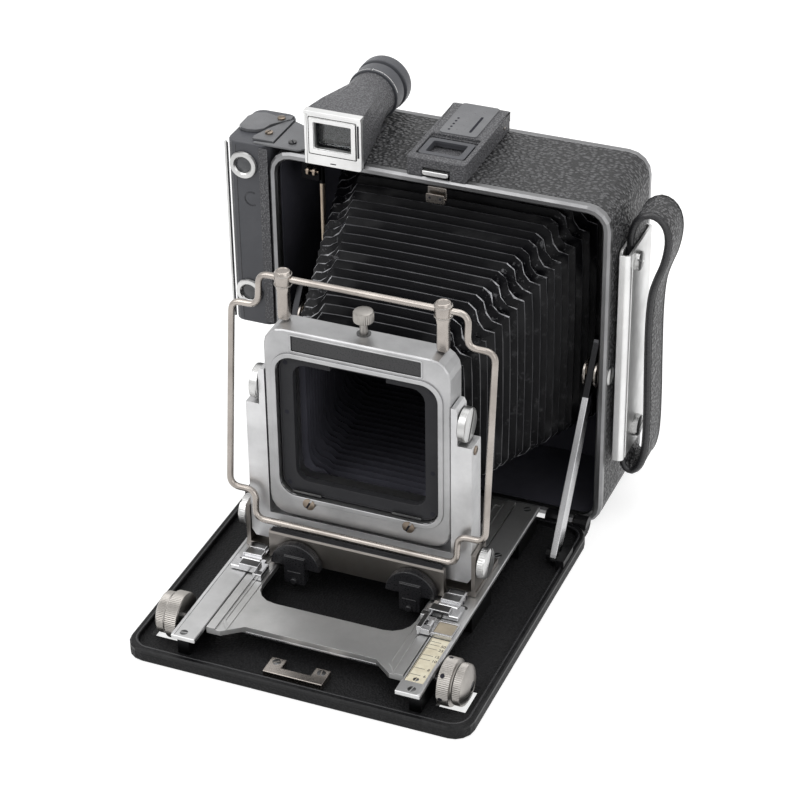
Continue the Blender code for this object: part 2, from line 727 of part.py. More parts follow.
def build_housing():
    """Top housing with peep sight, scale plate, release button and latch."""
    top = HOUSING_TOP
    low = BODY_HEIGHT + GAP
    slope = HOUSING_HEIGHT * 0.45
    outline = [(HOUSING_FRONT, low), (HOUSING_REAR, low), (HOUSING_REAR, top),
               (HOUSING_FRONT + slope, top), (HOUSING_FRONT, top - slope)]
    housing = prism("sight_housing", [outline], "X", -HOUSING_HALF, HOUSING_HALF, PAINT, bevel=HOUSING_EDGE)
    floor = top - HOUSING_RECESS
    cut_box(housing, (-SIGHT_HALF - GAP, SIGHT_FRONT - GAP, floor),
            (SIGHT_HALF + GAP, SIGHT_REAR + 2 * GAP, top + HOUSING_RECESS))
    pivot_y = SIGHT_REAR - SIGHT_PIVOT - GAP
    sight_low = floor + 2 * GAP
    pivot_z = sight_low + SIGHT_THICK / 2
    trunnion = SIGHT_HALF + SIGHT_TRUNNION
    cut_rod(housing, "X", (pivot_y, pivot_z), -trunnion - SEAM, trunnion + SEAM, SIGHT_PIVOT + GAP)
    fuse_box(housing, (-PLATE_HALF, SIGHT_REAR + SIGHT_PLATE_GAP, top - PLATE_THICK),
             (PLATE_HALF, PLATE_REAR, top + PLATE_THICK))
    sight_body = carrier("sight_axis", (0, pivot_y, pivot_z), ROOT)
    sight = prism("peep_sight",
                  [rounded(-SIGHT_HALF, SIGHT_FRONT, SIGHT_HALF, SIGHT_REAR - GAP, SIGHT_CORNER),
                   rounded(-SIGHT_HALF + SIGHT_RIM, SIGHT_FRONT + SIGHT_RIM, SIGHT_HALF - SIGHT_RIM,
                           SIGHT_REAR - 2 * SIGHT_RIM, SIGHT_WINDOW_CORNER)],
                  "Z", sight_low, sight_low + SIGHT_THICK, PAINT, sight_body)
    fuse_rod(sight, "X", (pivot_y, pivot_z), -trunnion, trunnion, SIGHT_PIVOT)
    button_z = low + BITE
    button_back = HOUSING_FRONT + EMBED
    pocket = BUTTON_TRAVEL + GAP
    cut_box(housing, (-BUTTON_HALF - GAP, -GAP, button_z - GAP),
            (BUTTON_HALF + GAP, button_back + pocket, button_z + BUTTON_HEIGHT + GAP))
    button_body = carrier("button_axis", (0, HOUSING_FRONT, button_z), ROOT)
    prism("release_button",
          [rounded(-BUTTON_HALF, button_z, BUTTON_HALF, button_z + BUTTON_HEIGHT, BUTTON_HEIGHT * 0.45)],
          "Y", HOUSING_FRONT - BUTTON_PROUD, button_back, NICKEL, button_body)
    latch_body = carrier("latch_axis", (0, 0, BODY_HEIGHT - TRIM_FACE), ROOT)
    latch_high = BODY_HEIGHT - max(TRIM_FACE, INNER_INSET) - 2 * GAP
    latch = box("door_latch", (-LATCH_HALF, TRIM_DEPTH / 2, latch_high - LATCH_DROP),
                (LATCH_HALF, TRIM_DEPTH / 2 + LATCH_THICK, latch_high), NICKEL, latch_body)
    fuse_box(latch, (-LATCH_HALF, TRIM_DEPTH / 2, latch_high - LATCH_THICK),
             (LATCH_HALF, SHELL_FRONT + LATCH_LENGTH, latch_high))
    fuse_box(latch, (-LATCH_HALF, TRIM_DEPTH / 2 - EMBED, latch_high - LATCH_DROP),
             (LATCH_HALF, TRIM_DEPTH / 2 + LATCH_THICK, latch_high - LATCH_DROP + LATCH_THICK))


def loft(name, sections, finish, body=None, group=PARTS):
    """A closed skin over sections with equal point counts, capped at both ends."""
    bm = bmesh.new()
    loops = [[bm.verts.new(point) for point in section] for section in sections]
    for ring, following in zip(loops, loops[1:]):
        for index in range(len(ring)):
            after = (index + 1) % len(ring)
            bm.faces.new((ring[index], ring[after], following[after], following[index]))
    bm.faces.new(loops[0])
    bm.faces.new(loops[-1])
    obj = bpy.data.objects.new(name, mesh_of(bm, name))
    return own(obj, finish, body, group)


def finder_section(y, share, inset):
    """One finder section: square at the front, round at the tube's end."""
    points = []
    middle_front = (FINDER_LOW + FINDER_HIGH) / 2
    for index in range(ROUND_STEPS):
        angle = 2 * math.pi * (index + 0.5) / ROUND_STEPS
        side, up = math.cos(angle), math.sin(angle)
        reach = 1 / max(abs(side), abs(up))
        square_x = (FINDER_HALF - inset - GAP) * side * reach
        square_z = middle_front + ((FINDER_HIGH - FINDER_LOW) / 2 - inset) * up * reach
        round_x = (FINDER_TUBE_RADIUS - inset) * side
        round_z = FINDER_TUBE_Z + (FINDER_TUBE_RADIUS - inset) * up
        points.append((FINDER_X + square_x + share * (round_x - square_x), y,
                       square_z + share * (round_z - square_z)))
    return points


def build_finder():
    """Optical finder: lofted tube, nickel front plate, mask, lens and turning eyepiece."""
    start = FINDER_FRONT + FINDER_PLATE + GAP
    blend_end = start + 0.8 * (FINDER_TUBE_END - start)
    waist = start + 0.4 * (blend_end - start)
    places = ((start, 0.0), (waist, 0.3), (blend_end, 1.0), (FINDER_TUBE_END, 1.0))
    tube = loft("finder_tube", [finder_section(y, share, 0) for y, share in places], PAINT)
    through = ((start - GAP, 0.0), (waist, 0.3), (blend_end, 1.0), (FINDER_TUBE_END + GAP, 1.0))
    bore = [finder_section(y, share, FINDER_WALL) for y, share in through]
    cut(tube, loft("finder_tube_bore", bore, None, group=CUTTERS))
    fuse_box(tube, (FINDER_X - FINDER_SADDLE, start + EMBED, BODY_HEIGHT + GAP),
             (FINDER_X + FINDER_SADDLE, FINDER_TUBE_END - EMBED, FINDER_LOW + FINDER_SADDLE_BITE))
    plate_low = FINDER_LOW - FINDER_PLATE_DROP
    window = rounded(FINDER_X - FINDER_WINDOW_HALF, FINDER_WINDOW_LOW, FINDER_X + FINDER_WINDOW_HALF,
                     FINDER_WINDOW_HIGH, FINDER_WINDOW_CORNER)
    prism("finder_front_plate",
          [rounded(FINDER_X - FINDER_HALF, plate_low, FINDER_X + FINDER_HALF, FINDER_HIGH, FINDER_CORNER),
           window],
          "Y", FINDER_FRONT, FINDER_FRONT + FINDER_PLATE, NICKEL)
    lens_y = start + FINDER_LENS_THICK
    prism("finder_lens", [window], "Y", lens_y, lens_y + FINDER_LENS_THICK, GLASS)
    eyepiece_body = carrier("eyepiece_axis", (FINDER_X, FINDER_TUBE_END, FINDER_TUBE_Z), ROOT)
    seat = EYEPIECE_RADIUS - EYEPIECE_GROOVE
    near = FINDER_TUBE_END + GAP
    grip = near + EYEPIECE_GRIP
    collar = EYEPIECE_RADIUS - EYEPIECE_STEP
    profile = [(EYEPIECE_BORE, near), (EYEPIECE_BORE, EYEPIECE_END), (EYEPIECE_RADIUS, EYEPIECE_END),
               (EYEPIECE_RADIUS, grip + EMBED), (seat, grip + EYEPIECE_GROOVE_WIDTH), (seat, grip),
               (collar, grip), (collar, near), (EYEPIECE_BORE, near)]
    turned("finder_eyepiece", "Y", (FINDER_X, FINDER_TUBE_Z),
           [(radius, -along) for radius, along in reversed(profile)], PAINT, eyepiece_body)


def build_rangefinder():
    """Rangefinder housing on the left side with windows, top cover and coupling rod."""
    near = -BODY_SIDE - GAP
    outline = rounded(-RF_REACH, RF_FRONT, near, RF_REAR, RF_CORNER)
    housing = prism("rangefinder_housing", [outline], "Z", RF_LOW, RF_HIGH, PAINT, bevel=SOFT_EDGE)
    for name, height in (("lower", RF_WINDOW_LOW), ("upper", RF_WINDOW_HIGH)):
        centre = (RF_WINDOW_X, height)
        cut_rod(housing, "Y", centre, -RF_FRONT, RF_FRONT + RF_POCKET, RF_RING_OUTER - RF_RING_SEAT,
                steps=ROUND_STEPS)
        front = RF_FRONT - GAP
        prism("range_window_ring_" + name, [circle(centre, RF_RING_OUTER), circle(centre, RF_RING_INNER)],
              "Y", front - RF_RING_PROUD, front, CHROME)
    ceiling = BODY_HEIGHT - INNER_INSET
    rod_high = ceiling - ROD_TOP_GAP
    coupling = rod("coupling_rod", "Z", (ROD_X, ROD_Y), rod_high - ROD_LENGTH, rod_high, ROD_RADIUS, BRASS,
                   steps=12)
    fuse_box(coupling, (ROD_X - ROD_BRACKET_LENGTH, ROD_Y - ROD_BRACKET_HALF, ceiling - ROD_BRACKET_HEIGHT),
             (ROD_X, ROD_Y + ROD_BRACKET_HALF, ceiling - GAP))


def strap_line():
    """The strap's middle line, seen from the front: over a round crown, down and round a heel."""
    face = BODY_SIDE + GAP + STRAP_PLATE_THICK + GAP + STRAP_THICK / 2
    far = STRAP_REACH - STRAP_THICK / 2 - STRAP_SWELL
    foot = face + STRAP_THICK + STRAP_FOOT_GAP
    crown, heel = (far - face) / 2, (foot - face) / 2
    high = STRAP_TOP - STRAP_THICK / 2 - crown
    low = STRAP_BOTTOM + STRAP_THICK / 2 + heel
    turns = [math.pi * step / ARC_STEPS for step in range(ARC_STEPS + 1)]
    route = [(face, STRAP_TOP - STRAP_END_REACH), (face, high - crown)]
    route += [(face + crown * (1 - math.cos(turn)), high + crown * math.sin(turn)) for turn in turns]
    route.append((far, high - crown))
    route += [(foot + out * (far - foot), low + up * (high - low)) for out, up in STRAP_BOW]
    route.append((foot, low + heel))
    route += [(face + heel * (1 + math.cos(turn)), low - heel * math.sin(turn)) for turn in turns]
    route += [(face, low + heel), (face, STRAP_END_LOW)]
    route = [Vector(point) for point in route]
    slopes = []
    for index, here in enumerate(route):
        before, after = route[max(index - 1, 0)], route[min(index + 1, len(route) - 1)]
        slopes.append((after - before) / ((here - before).length + (after - here).length))
    line = []
    for index in range(len(route) - 1):
        here, there = route[index], route[index + 1]
        span = (there - here).length
        for step in range(STRAP_STEPS):
            t = step / STRAP_STEPS
            line.append(here * (2 * t ** 3 - 3 * t ** 2 + 1) + there * (3 * t ** 2 - 2 * t ** 3)
                        + slopes[index] * span * (t ** 3 - 2 * t ** 2 + t)
                        + slopes[index + 1] * span * (t ** 3 - t ** 2))
    line.append(route[-1])
    return line


def build_strap():
    """Hand strap and its fixing plate on the right side."""
    inner = BODY_SIDE + GAP
    prism("strap_plate", [rounded(STRAP_Y - STRAP_PLATE_HALF, STRAP_PLATE_LOW, STRAP_Y + STRAP_PLATE_HALF,
                                  STRAP_PLATE_HIGH, STRAP_PLATE_CORNER)],
          "X", inner, inner + STRAP_PLATE_THICK, NICKEL, bevel=STRAP_PLATE_EDGE)
    line = strap_line()
    sides = ([], [])
    for index, point in enumerate(line):
        ahead = line[min(index + 1, len(line) - 1)] - line[max(index - 1, 0)]
        normal = Vector((ahead.y, -ahead.x)).normalized() * STRAP_THICK / 2
        sides[0].append(point + normal)
        sides[1].append(point - normal)
    outline = [(p.x, p.y) for p in sides[0]] + [(p.x, p.y) for p in reversed(sides[1])]
    prism("hand_strap", [outline], "Y", STRAP_Y - STRAP_WIDTH / 2, STRAP_Y + STRAP_WIDTH / 2, LEATHERETTE)


def build_back():
    """Revolving back, spring panel with ground glass, and focusing hood."""
    turn = carrier("back_axis", (0, BODY_DEPTH, BODY_MID_Z), ROOT)
    half = BACK_SIZE / 2

    def centred(u, v, radius):
        return rounded(-u, BODY_MID_Z - v, u, BODY_MID_Z + v, radius)

    prism("revolving_back", [centred(half, half, BACK_CORNER),
                             centred(BACK_FILM_HALF, BACK_FILM_HALF_HIGH, PANEL_CORNER)],
          "Y", BODY_DEPTH + GAP, BACK_REAR, PAINT, turn, bevel=SOFT_EDGE)
    slide = carrier("panel_axis", (0, PANEL_FRONT, BODY_MID_Z), turn)
    rear = PANEL_FRONT + PANEL_DEPTH
    view_u, view_v = BACK_FILM_HALF - GLASS_MARGIN, BACK_FILM_HALF_HIGH - GLASS_MARGIN
    panel = prism("focusing_panel", [centred(PANEL_HALF, PANEL_HALF_HIGH, PANEL_CORNER),
                                     centred(view_u, view_v, PANEL_CORNER / 2)],
                  "Y", PANEL_FRONT, rear, PAINT, slide)
    glass_u, glass_v = view_u + GLASS_MARGIN, view_v + GLASS_MARGIN
    ledge = PANEL_FRONT + GLASS_THICK + 2 * GAP
    cut_box(panel, (-glass_u - GAP, PANEL_FRONT - GAP, BODY_MID_Z - glass_v - GAP),
            (glass_u + GAP, ledge, BODY_MID_Z + glass_v + GAP))
    box("ground_glass", (-glass_u, PANEL_FRONT + GAP, BODY_MID_Z - glass_v),
        (glass_u, PANEL_FRONT + GAP + GLASS_THICK, BODY_MID_Z + glass_v), GLASS, slide)
    hinge_z = BODY_MID_Z + PANEL_HALF_HIGH - HOOD_INSET
    lift = carrier("hood_axis", (0, HOOD_FRONT, hinge_z), slide)
    hood_u, hood_v = PANEL_HALF - HOOD_INSET, PANEL_HALF_HIGH - HOOD_INSET
    hood = prism("focusing_hood", [centred(hood_u, hood_v, PANEL_CORNER)],
                 "Y", HOOD_FRONT, HOOD_FRONT + HOOD_DEPTH, PAINT, lift, bevel=SOFT_EDGE)
    inner_u, inner_v = hood_u - HOOD_SHEET, hood_v - HOOD_SHEET
    cut_box(hood, (-inner_u, HOOD_FRONT - GAP, BODY_MID_Z - inner_v),
            (inner_u, HOOD_FRONT + HOOD_DEPTH - HOOD_SHEET, BODY_MID_Z + inner_v))


def build_bed():
    """The drop bed with its rim, knob openings, hinge knuckles, pins and catch."""
    half = BED_WIDTH / 2
    bed_body = carrier("bed_axis", (0, HINGE_Y, HINGE_Z), ROOT)
    outline = rounded(-half, -BED_FRONT, half, -BED_REAR, BED_CORNER)
    bed = prism("bed_plate", [outline], "Z", 0, BED_HEIGHT, PAINT, bed_body, bevel=ROUND_EDGE)
    cut(bed, prism("bed_recess", [rounded(-half + BED_RIM, -BED_FRONT + BED_RIM, half - BED_RIM,
                                          -BED_REAR - BED_RIM, BED_CORNER - BED_RIM / 2)],
                   "Z", BED_FLOOR, BED_HEIGHT + BED_RIM, group=CUTTERS))
    reach = math.sqrt(KNOB_RING_RADIUS ** 2 - (SHAFT_Z - BED_FLOOR) ** 2) + KNOB_HOLE_MARGIN
    for name, side in SIDES:
        low, high = mirrored((KNOB_START - GAP, SHAFT_Y - reach, -GAP),
                             (KNOB_START + KNOB_RING_LENGTH + GAP + KNOB_CAP_LENGTH + GAP, SHAFT_Y + reach,
                              BED_FLOOR + GAP), side)
        cut_box(bed, low, high)
        for start in (HINGE_INNER, HINGE_INNER + 2 * HINGE_KNUCKLE):
            low, high = mirrored((start + GAP, -BED_REAR - EMBED, GAP),
                                 (start + HINGE_KNUCKLE - GAP, HINGE_Y, HINGE_Z), side)
            fuse_box(bed, low, high)
            fuse_rod(bed, "X", (HINGE_Y, HINGE_Z), low[0], high[0], HINGE_RADIUS, steps=12)
        pin_start = HINGE_INNER - GAP
        pin_end = HINGE_INNER + 3 * HINGE_KNUCKLE - EMBED
        cut_rod(bed, "X", (HINGE_Y, HINGE_Z), side * pin_start, side * (pin_end + GAP), HINGE_PIN + GAP,
                steps=10)
        rod("hinge_pin_" + name, "X", (HINGE_Y, HINGE_Z), side * (HINGE_INNER + GAP), side * pin_end,
            HINGE_PIN, NICKEL, bed_body, steps=12)
    front = -CATCH_FRONT
    back = front + CATCH_DEPTH
    bar = front + CATCH_BAR
    arm_left = CATCH_LEFT + CATCH_ARM
    arm_right = CATCH_RIGHT - CATCH_ARM
    prism("bed_catch",
          [[(CATCH_LEFT, front), (CATCH_RIGHT, front), (CATCH_RIGHT, back), (arm_right, back),
            (arm_right, bar), (arm_left, bar), (arm_left, back), (CATCH_LEFT, back)]],
          "Z", BED_FLOOR + GAP, BED_FLOOR + GAP + CATCH_THICK, NICKEL, bed_body)
    return bed, bed_body


def build_rails(bed_body):
    """Guide rails with bearing blocks, and the distance scale let into the right one."""
    for name, side in SIDES:
        low, high = mirrored((RAIL_INNER, -RAIL_FRONT, RAIL_LOW), (RAIL_OUTER, -RAIL_REAR, RAIL_TOP), side)
        rail = box("guide_rail_" + name, low, high, ALUMINIUM, bed_body, bevel=FINE_EDGE)
        first = -BED_FRONT + RAIL_BLOCK_FRONT
        last = -RAIL_REAR - RAIL_BLOCK_LENGTH - RAIL_BLOCK_INSET
        for start in (first, (first + last) / 2, last):
            low, high = mirrored((RAIL_BLOCK_INNER, start, BED_FLOOR + GAP),
                                 (RAIL_OUTER - BITE, start + RAIL_BLOCK_LENGTH, RAIL_LOW + BITE), side)
            fuse_box(rail, low, high)
        cut_rod(rail, "X", (SHAFT_Y, SHAFT_Z), side * (RAIL_BLOCK_INNER - GAP), side * RAIL_OUTER,
                SHAFT_RADIUS + GAP)
        if side > 0:
            floor = RAIL_TOP - SCALE_THICK - 2 * GAP
            cut_box(rail, (RAIL_INNER + SCALE_MARGIN - GAP, -SCALE_END - GAP, floor),
                    (RAIL_OUTER - SCALE_MARGIN + GAP, -SCALE_START + GAP, RAIL_TOP + RAIL_THICK))
    box("distance_scale", (RAIL_INNER + SCALE_MARGIN, -SCALE_END, RAIL_TOP - SCALE_THICK - GAP),
        (RAIL_OUTER - SCALE_MARGIN, -SCALE_START, RAIL_TOP - GAP), IVORY, bed_body)


def track_outline():
    """The track's plan: two arms with tips, a front bar between them and a rear bar."""
    right = [(TRACK_BAR_HALF, -TRACK_BAR_FRONT), (TRACK_TIP_HALF, -TRACK_TIP), (TRACK_HALF, -TRACK_TIP),
             (TRACK_HALF, -TRACK_REAR)]
    left = [(-x, y) for x, y in reversed(right)]
    return right + left


def build_track(bed_body):
    """The focusing track with ridges, flanges under the rails and racks below."""
    track_body = carrier("track_axis", (0, -TRACK_BAR_FRONT, TRACK_LOW), bed_body)
    opening = rounded(-TRACK_OPEN_HALF, -TRACK_OPEN_FRONT, TRACK_OPEN_HALF, -TRACK_OPEN_REAR,
                      TRACK_OPEN_CORNER)
    track = prism("focus_track", [track_outline(), opening], "Z", TRACK_LOW, TRACK_TOP, ALUMINIUM,
                  track_body)
    pitch = 2 * math.pi * PINION_PITCH / PINION_TEETH
    rack_front = SHAFT_Y - 2 * pitch
    rack_count = round(TRACK_TRAVEL / pitch) + 5
    for side in (-1, 1):
        low, high = mirrored((TRACK_HALF - TRACK_RIDGE, -TRACK_TIP, TRACK_TOP - BITE),
                             (TRACK_HALF, -TRACK_REAR, RAIL_TOP - GAP), side)
        fuse_box(track, low, high)
        low, high = mirrored((TRACK_HALF - BITE, -TRACK_TIP + EMBED, SHAFT_Z + SHAFT_RADIUS + 2 * GAP),
                             (TRACK_FLANGE, -TRACK_REAR, RAIL_LOW - GAP), side)
        fuse_box(track, low, high)
        ends = sorted((side * (PINION_INNER - GAP), side * (PINION_INNER + PINION_LENGTH + GAP)))
        comb = rack_comb(rack_front, rack_count, pitch)
        cut(track, prism("rack_gaps", [comb], "X", ends[0], ends[1], group=CUTTERS))
    return track_body


def rack_comb(front, count, pitch):
    """The outline of all gaps between a rack's teeth, open at the bottom."""
    below = TRACK_LOW - RACK_RELIEF
    tooth_top = SHAFT_Z + PINION_PITCH + PINION_TOOTH + RACK_RELIEF
    low_half = RACK_GAP_SHARE * pitch
    high_half = 0.7 * low_half
    back_end = front + (count - 0.5) * pitch
    front_end = front - 0.5 * pitch
    comb = [(back_end, below), (back_end, RACK_TIP)]
    for index in reversed(range(count)):
        middle = front + index * pitch
        comb += [(middle + low_half, RACK_TIP), (middle + high_half, tooth_top),
                 (middle - high_half, tooth_top), (middle - low_half, RACK_TIP)]
    comb += [(front_end, RACK_TIP), (front_end, below)]
    return comb


def pinion_outline():
    """A small spur gear, one tooth pointing straight up."""
    points = []
    root = PINION_PITCH - PINION_TOOTH
    tip = PINION_PITCH + PINION_TOOTH
    for index in range(PINION_TEETH):
        middle = 90 + 360 * index / PINION_TEETH
        for radius, offset in ((root, -11), (tip, -4.5), (tip, 4.5), (root, 11)):
            angle = math.radians(middle + offset)
            points.append((SHAFT_Y + radius * math.cos(angle), SHAFT_Z + radius * math.sin(angle)))
    return points


def build_focus_drive(bed_body):
    """Focus shaft with two pinions, both knobs and the track lock ring."""
    shaft_body = carrier("shaft_axis", (0, SHAFT_Y, SHAFT_Z), bed_body)
    centre = (SHAFT_Y, SHAFT_Z)
    end = KNOB_START + KNOB_RING_LENGTH + KNOB_CAP_LENGTH - EMBED
    shaft = rod("focus_shaft", "X", centre, -end, end, SHAFT_RADIUS, CHROME, shaft_body)
    for side in (-1, 1):
        span = sorted((side * (PINION_INNER + GAP), side * (PINION_INNER + PINION_LENGTH - GAP)))
        fuse(shaft, prism("pinion", [pinion_outline()], "X", span[0], span[1], group=CUTTERS))
    bore = SHAFT_RADIUS + GAP
    ring_end = KNOB_START + KNOB_RING_LENGTH
    cap_end = ring_end + GAP + KNOB_CAP_LENGTH
    groove = KNOB_START + KNOB_RING_LENGTH * 0.86
    edge = KNOB_EDGE
    skirt = [(KNOB_CAP_RADIUS - edge, ring_end), (KNOB_RING_RADIUS - edge, groove),
             (KNOB_RING_RADIUS, groove - edge), (KNOB_RING_RADIUS, KNOB_START + edge),
             (KNOB_RING_RADIUS - edge, KNOB_START), (bore, KNOB_START)]
    ring = [(bore, ring_end)] + skirt + [(bore, ring_end)]
    crown = [(0, cap_end), (KNOB_CAP_RADIUS - KNOB_DOME, cap_end),
             (KNOB_CAP_RADIUS, cap_end - KNOB_DOME / 2)]
    socket = [(bore, end + GAP), (0, end + GAP)]
    cap = crown + [(KNOB_CAP_RADIUS, ring_end + GAP), (bore, ring_end + GAP)] + socket
    lock_body = carrier("lock_ring_axis", (KNOB_START, SHAFT_Y, SHAFT_Z), bed_body)
    turned("track_lock_ring", "X", centre, ring, NICKEL, lock_body)
    turned("focus_knob_right", "X", centre, cap, NICKEL, shaft_body)
    left = crown + [(KNOB_CAP_RADIUS, ring_end)] + skirt + socket
    knob = turned("focus_knob_left", "X", centre, left, NICKEL, shaft_body)
    knob.rotation_euler = (Matrix.Rotation(math.pi, 4, "Z") @ AXES["X"]).to_euler()


def build_stops(track_body):
    """Folding infinity stops on both ridges and the scale reader on the right."""
    low_z = RAIL_TOP + GAP
    top_z = low_z + STOP_THICK
    base_back = -STOP_FRONT + STOP_BASE_DEPTH
    pivot_y = base_back + STOP_PIVOT_RADIUS + GAP
    pivot_z = low_z + STOP_THICK / 2
    for name, side in SIDES:
        low, high = mirrored((STOP_INNER, -STOP_FRONT, low_z), (STOP_OUTER, base_back, top_z), side)
        base = box("infinity_stop_base_" + name, low, high, CHROME, track_body, bevel=FINE_EDGE)
        ear = STOP_EAR
        foot_low, foot_high = mirrored((STOP_INNER - ear, -STOP_FRONT, TRACK_TOP + GAP),
                                       (TRACK_HALF - TRACK_RIDGE - GAP, base_back, top_z), side)
        fuse_box(base, foot_low, foot_high)
        for start in (STOP_INNER, STOP_OUTER - ear):
            low, high = mirrored((start, base_back - BITE, low_z),
                                 (start + ear, pivot_y + STOP_PIVOT_RADIUS, top_z), side)
            fuse_box(base, low, high)
        span = sorted((side * (STOP_INNER + ear - GAP), side * (STOP_OUTER - ear + GAP)))
        fuse_rod(base, "X", (pivot_y, pivot_z), span[0], span[1], STOP_PIN, steps=10)
        flap_body = carrier("stop_axis_" + name, (0, pivot_y, pivot_z), track_body)
        low, high = mirrored((STOP_INNER + ear + GAP, pivot_y, low_z),
                             (STOP_OUTER - ear - GAP, -CARRIAGE_FRONT - GAP, top_z), side)
        flap = box("infinity_stop_flap_" + name, low, high, CHROME, flap_body)
        fuse_rod(flap, "X", (pivot_y, pivot_z), low[0], high[0], STOP_THICK / 2, steps=12)
        cut_rod(flap, "X", (pivot_y, pivot_z), low[0] - GAP, high[0] + GAP, STOP_PIN + GAP, steps=10)
    reader_low = RAIL_TOP + GAP
    low = (STOP_INNER, -READER_FRONT, reader_low)
    high = (READER_OUTER, -READER_FRONT + READER_DEPTH, reader_low + READER_THICK)
    reader = box("scale_reader", low, high, CHROME, track_body)
    cut_box(reader, (RAIL_INNER + READER_RIM, low[1] + READER_RIM, low[2] - GAP),
            (high[0] - READER_RIM, high[1] - READER_RIM, high[2] + GAP))
    fuse_box(reader, (STOP_INNER, low[1], TRACK_TOP + GAP),
             (TRACK_HALF - TRACK_RIDGE - GAP, high[1], high[2]))


def build_carriage(track_body):
    """The sliding carriage with its nickel bar, pivot ears and two squeeze grips."""
    carriage_body = carrier("carriage_axis", (0, -CARRIAGE_FRONT, CARRIAGE_LOW), track_body)
    carriage = box("carriage", (-CARRIAGE_HALF, -CARRIAGE_FRONT, CARRIAGE_LOW),
                   (CARRIAGE_HALF, -CARRIAGE_REAR, CARRIAGE_TOP), NICKEL, carriage_body)
    fuse_box(carriage, (-BAR_HALF, -BAR_FRONT + SEAM, CARRIAGE_LOW + SEAM),
             (BAR_HALF, -CARRIAGE_FRONT + EMBED, CARRIAGE_TOP - SEAM))
    bar_back = -BAR_FRONT + BAR_THICK
    bar_outline = [(-BAR_FRONT, CARRIAGE_LOW), (bar_back, CARRIAGE_LOW)]
    bar_outline += arc((bar_back - BAR_THICK / 2, BAR_TOP - BAR_THICK / 2), BAR_THICK / 2, 0, 180)
    fuse(carriage, prism("carriage_bar", [bar_outline], "X", -BAR_HALF - SEAM, BAR_HALF + SEAM,
                         group=CUTTERS))
    ear_low = YOKE_OUTER + GAP
    jaw = TRACK_OPEN_HALF - GAP
    foot_top = TRACK_LOW - GAP
    for name, side in SIDES:
        low, high = mirrored((ear_low, TILT_Y - EAR_DEPTH / 2, CARRIAGE_LOW + SEAM),
                             (ear_low + EAR_THICK, TILT_Y + EAR_DEPTH / 2, TILT_Z + TILT_KNOB_RADIUS), side)
        fuse_box(carriage, low, high)
        cut_rod(carriage, "X", (TILT_Y, TILT_Z), low[0] - GAP, high[0] + GAP, TILT_PIN + GAP)
        low, high = mirrored((jaw - JAW_THICK, -CARRIAGE_FRONT + SEAM, foot_top - JAW_THICK),
                             (jaw, -CARRIAGE_FRONT + JAW_LENGTH, CARRIAGE_LOW + BITE), side)
        fuse_box(carriage, low, high)
        low, high = mirrored((jaw - JAW_THICK / 2, -CARRIAGE_FRONT + 2 * SEAM, foot_top - JAW_THICK + SEAM),
                             (jaw + JAW_LIP, -CARRIAGE_FRONT + JAW_LENGTH - SEAM, foot_top), side)
        fuse_box(carriage, low, high)
        grip_low = CARRIAGE_TOP + GAP
        tongue_low = grip_low + GRIP_TONGUE_RISE
        tongue_high = tongue_low + GRIP_TONGUE_HEIGHT
        tongue = GRIP_TONGUE / 2
        low, high = mirrored((GRIP_X - tongue - GRIP_TRAVEL - GAP, -BAR_FRONT - GAP, tongue_low - GAP),
                             (GRIP_X + tongue + GAP, bar_back + GAP, tongue_high + GAP), side)
        cut_box(carriage, low, high)
        grip_body = carrier("grip_axis_" + name, (side * GRIP_X, -BAR_FRONT, grip_low), carriage_body)
        front = -BAR_FRONT - GAP - GRIP_THICK
        half_disc = arc((side * GRIP_X, CARRIAGE_LOW), GRIP_RADIUS, 0, 180, 3 * ARC_STEPS)
        grip = prism("squeeze_grip_" + name, [half_disc], "Y", front, -BAR_FRONT - GAP, PAINT, grip_body)
        stem = GRIP_STEM / 2
        fuse_box(grip, (side * GRIP_X - stem, front - BITE, GRIP_LOW),
                 (side * GRIP_X + stem, -BAR_FRONT - GAP, CARRIAGE_LOW + GRIP_RADIUS / 2))
        fuse_box(grip, (side * GRIP_X - tongue, -BAR_FRONT - BITE, tongue_low),
                 (side * GRIP_X + tongue, bar_back - GAP, tongue_high))
    return carriage_body


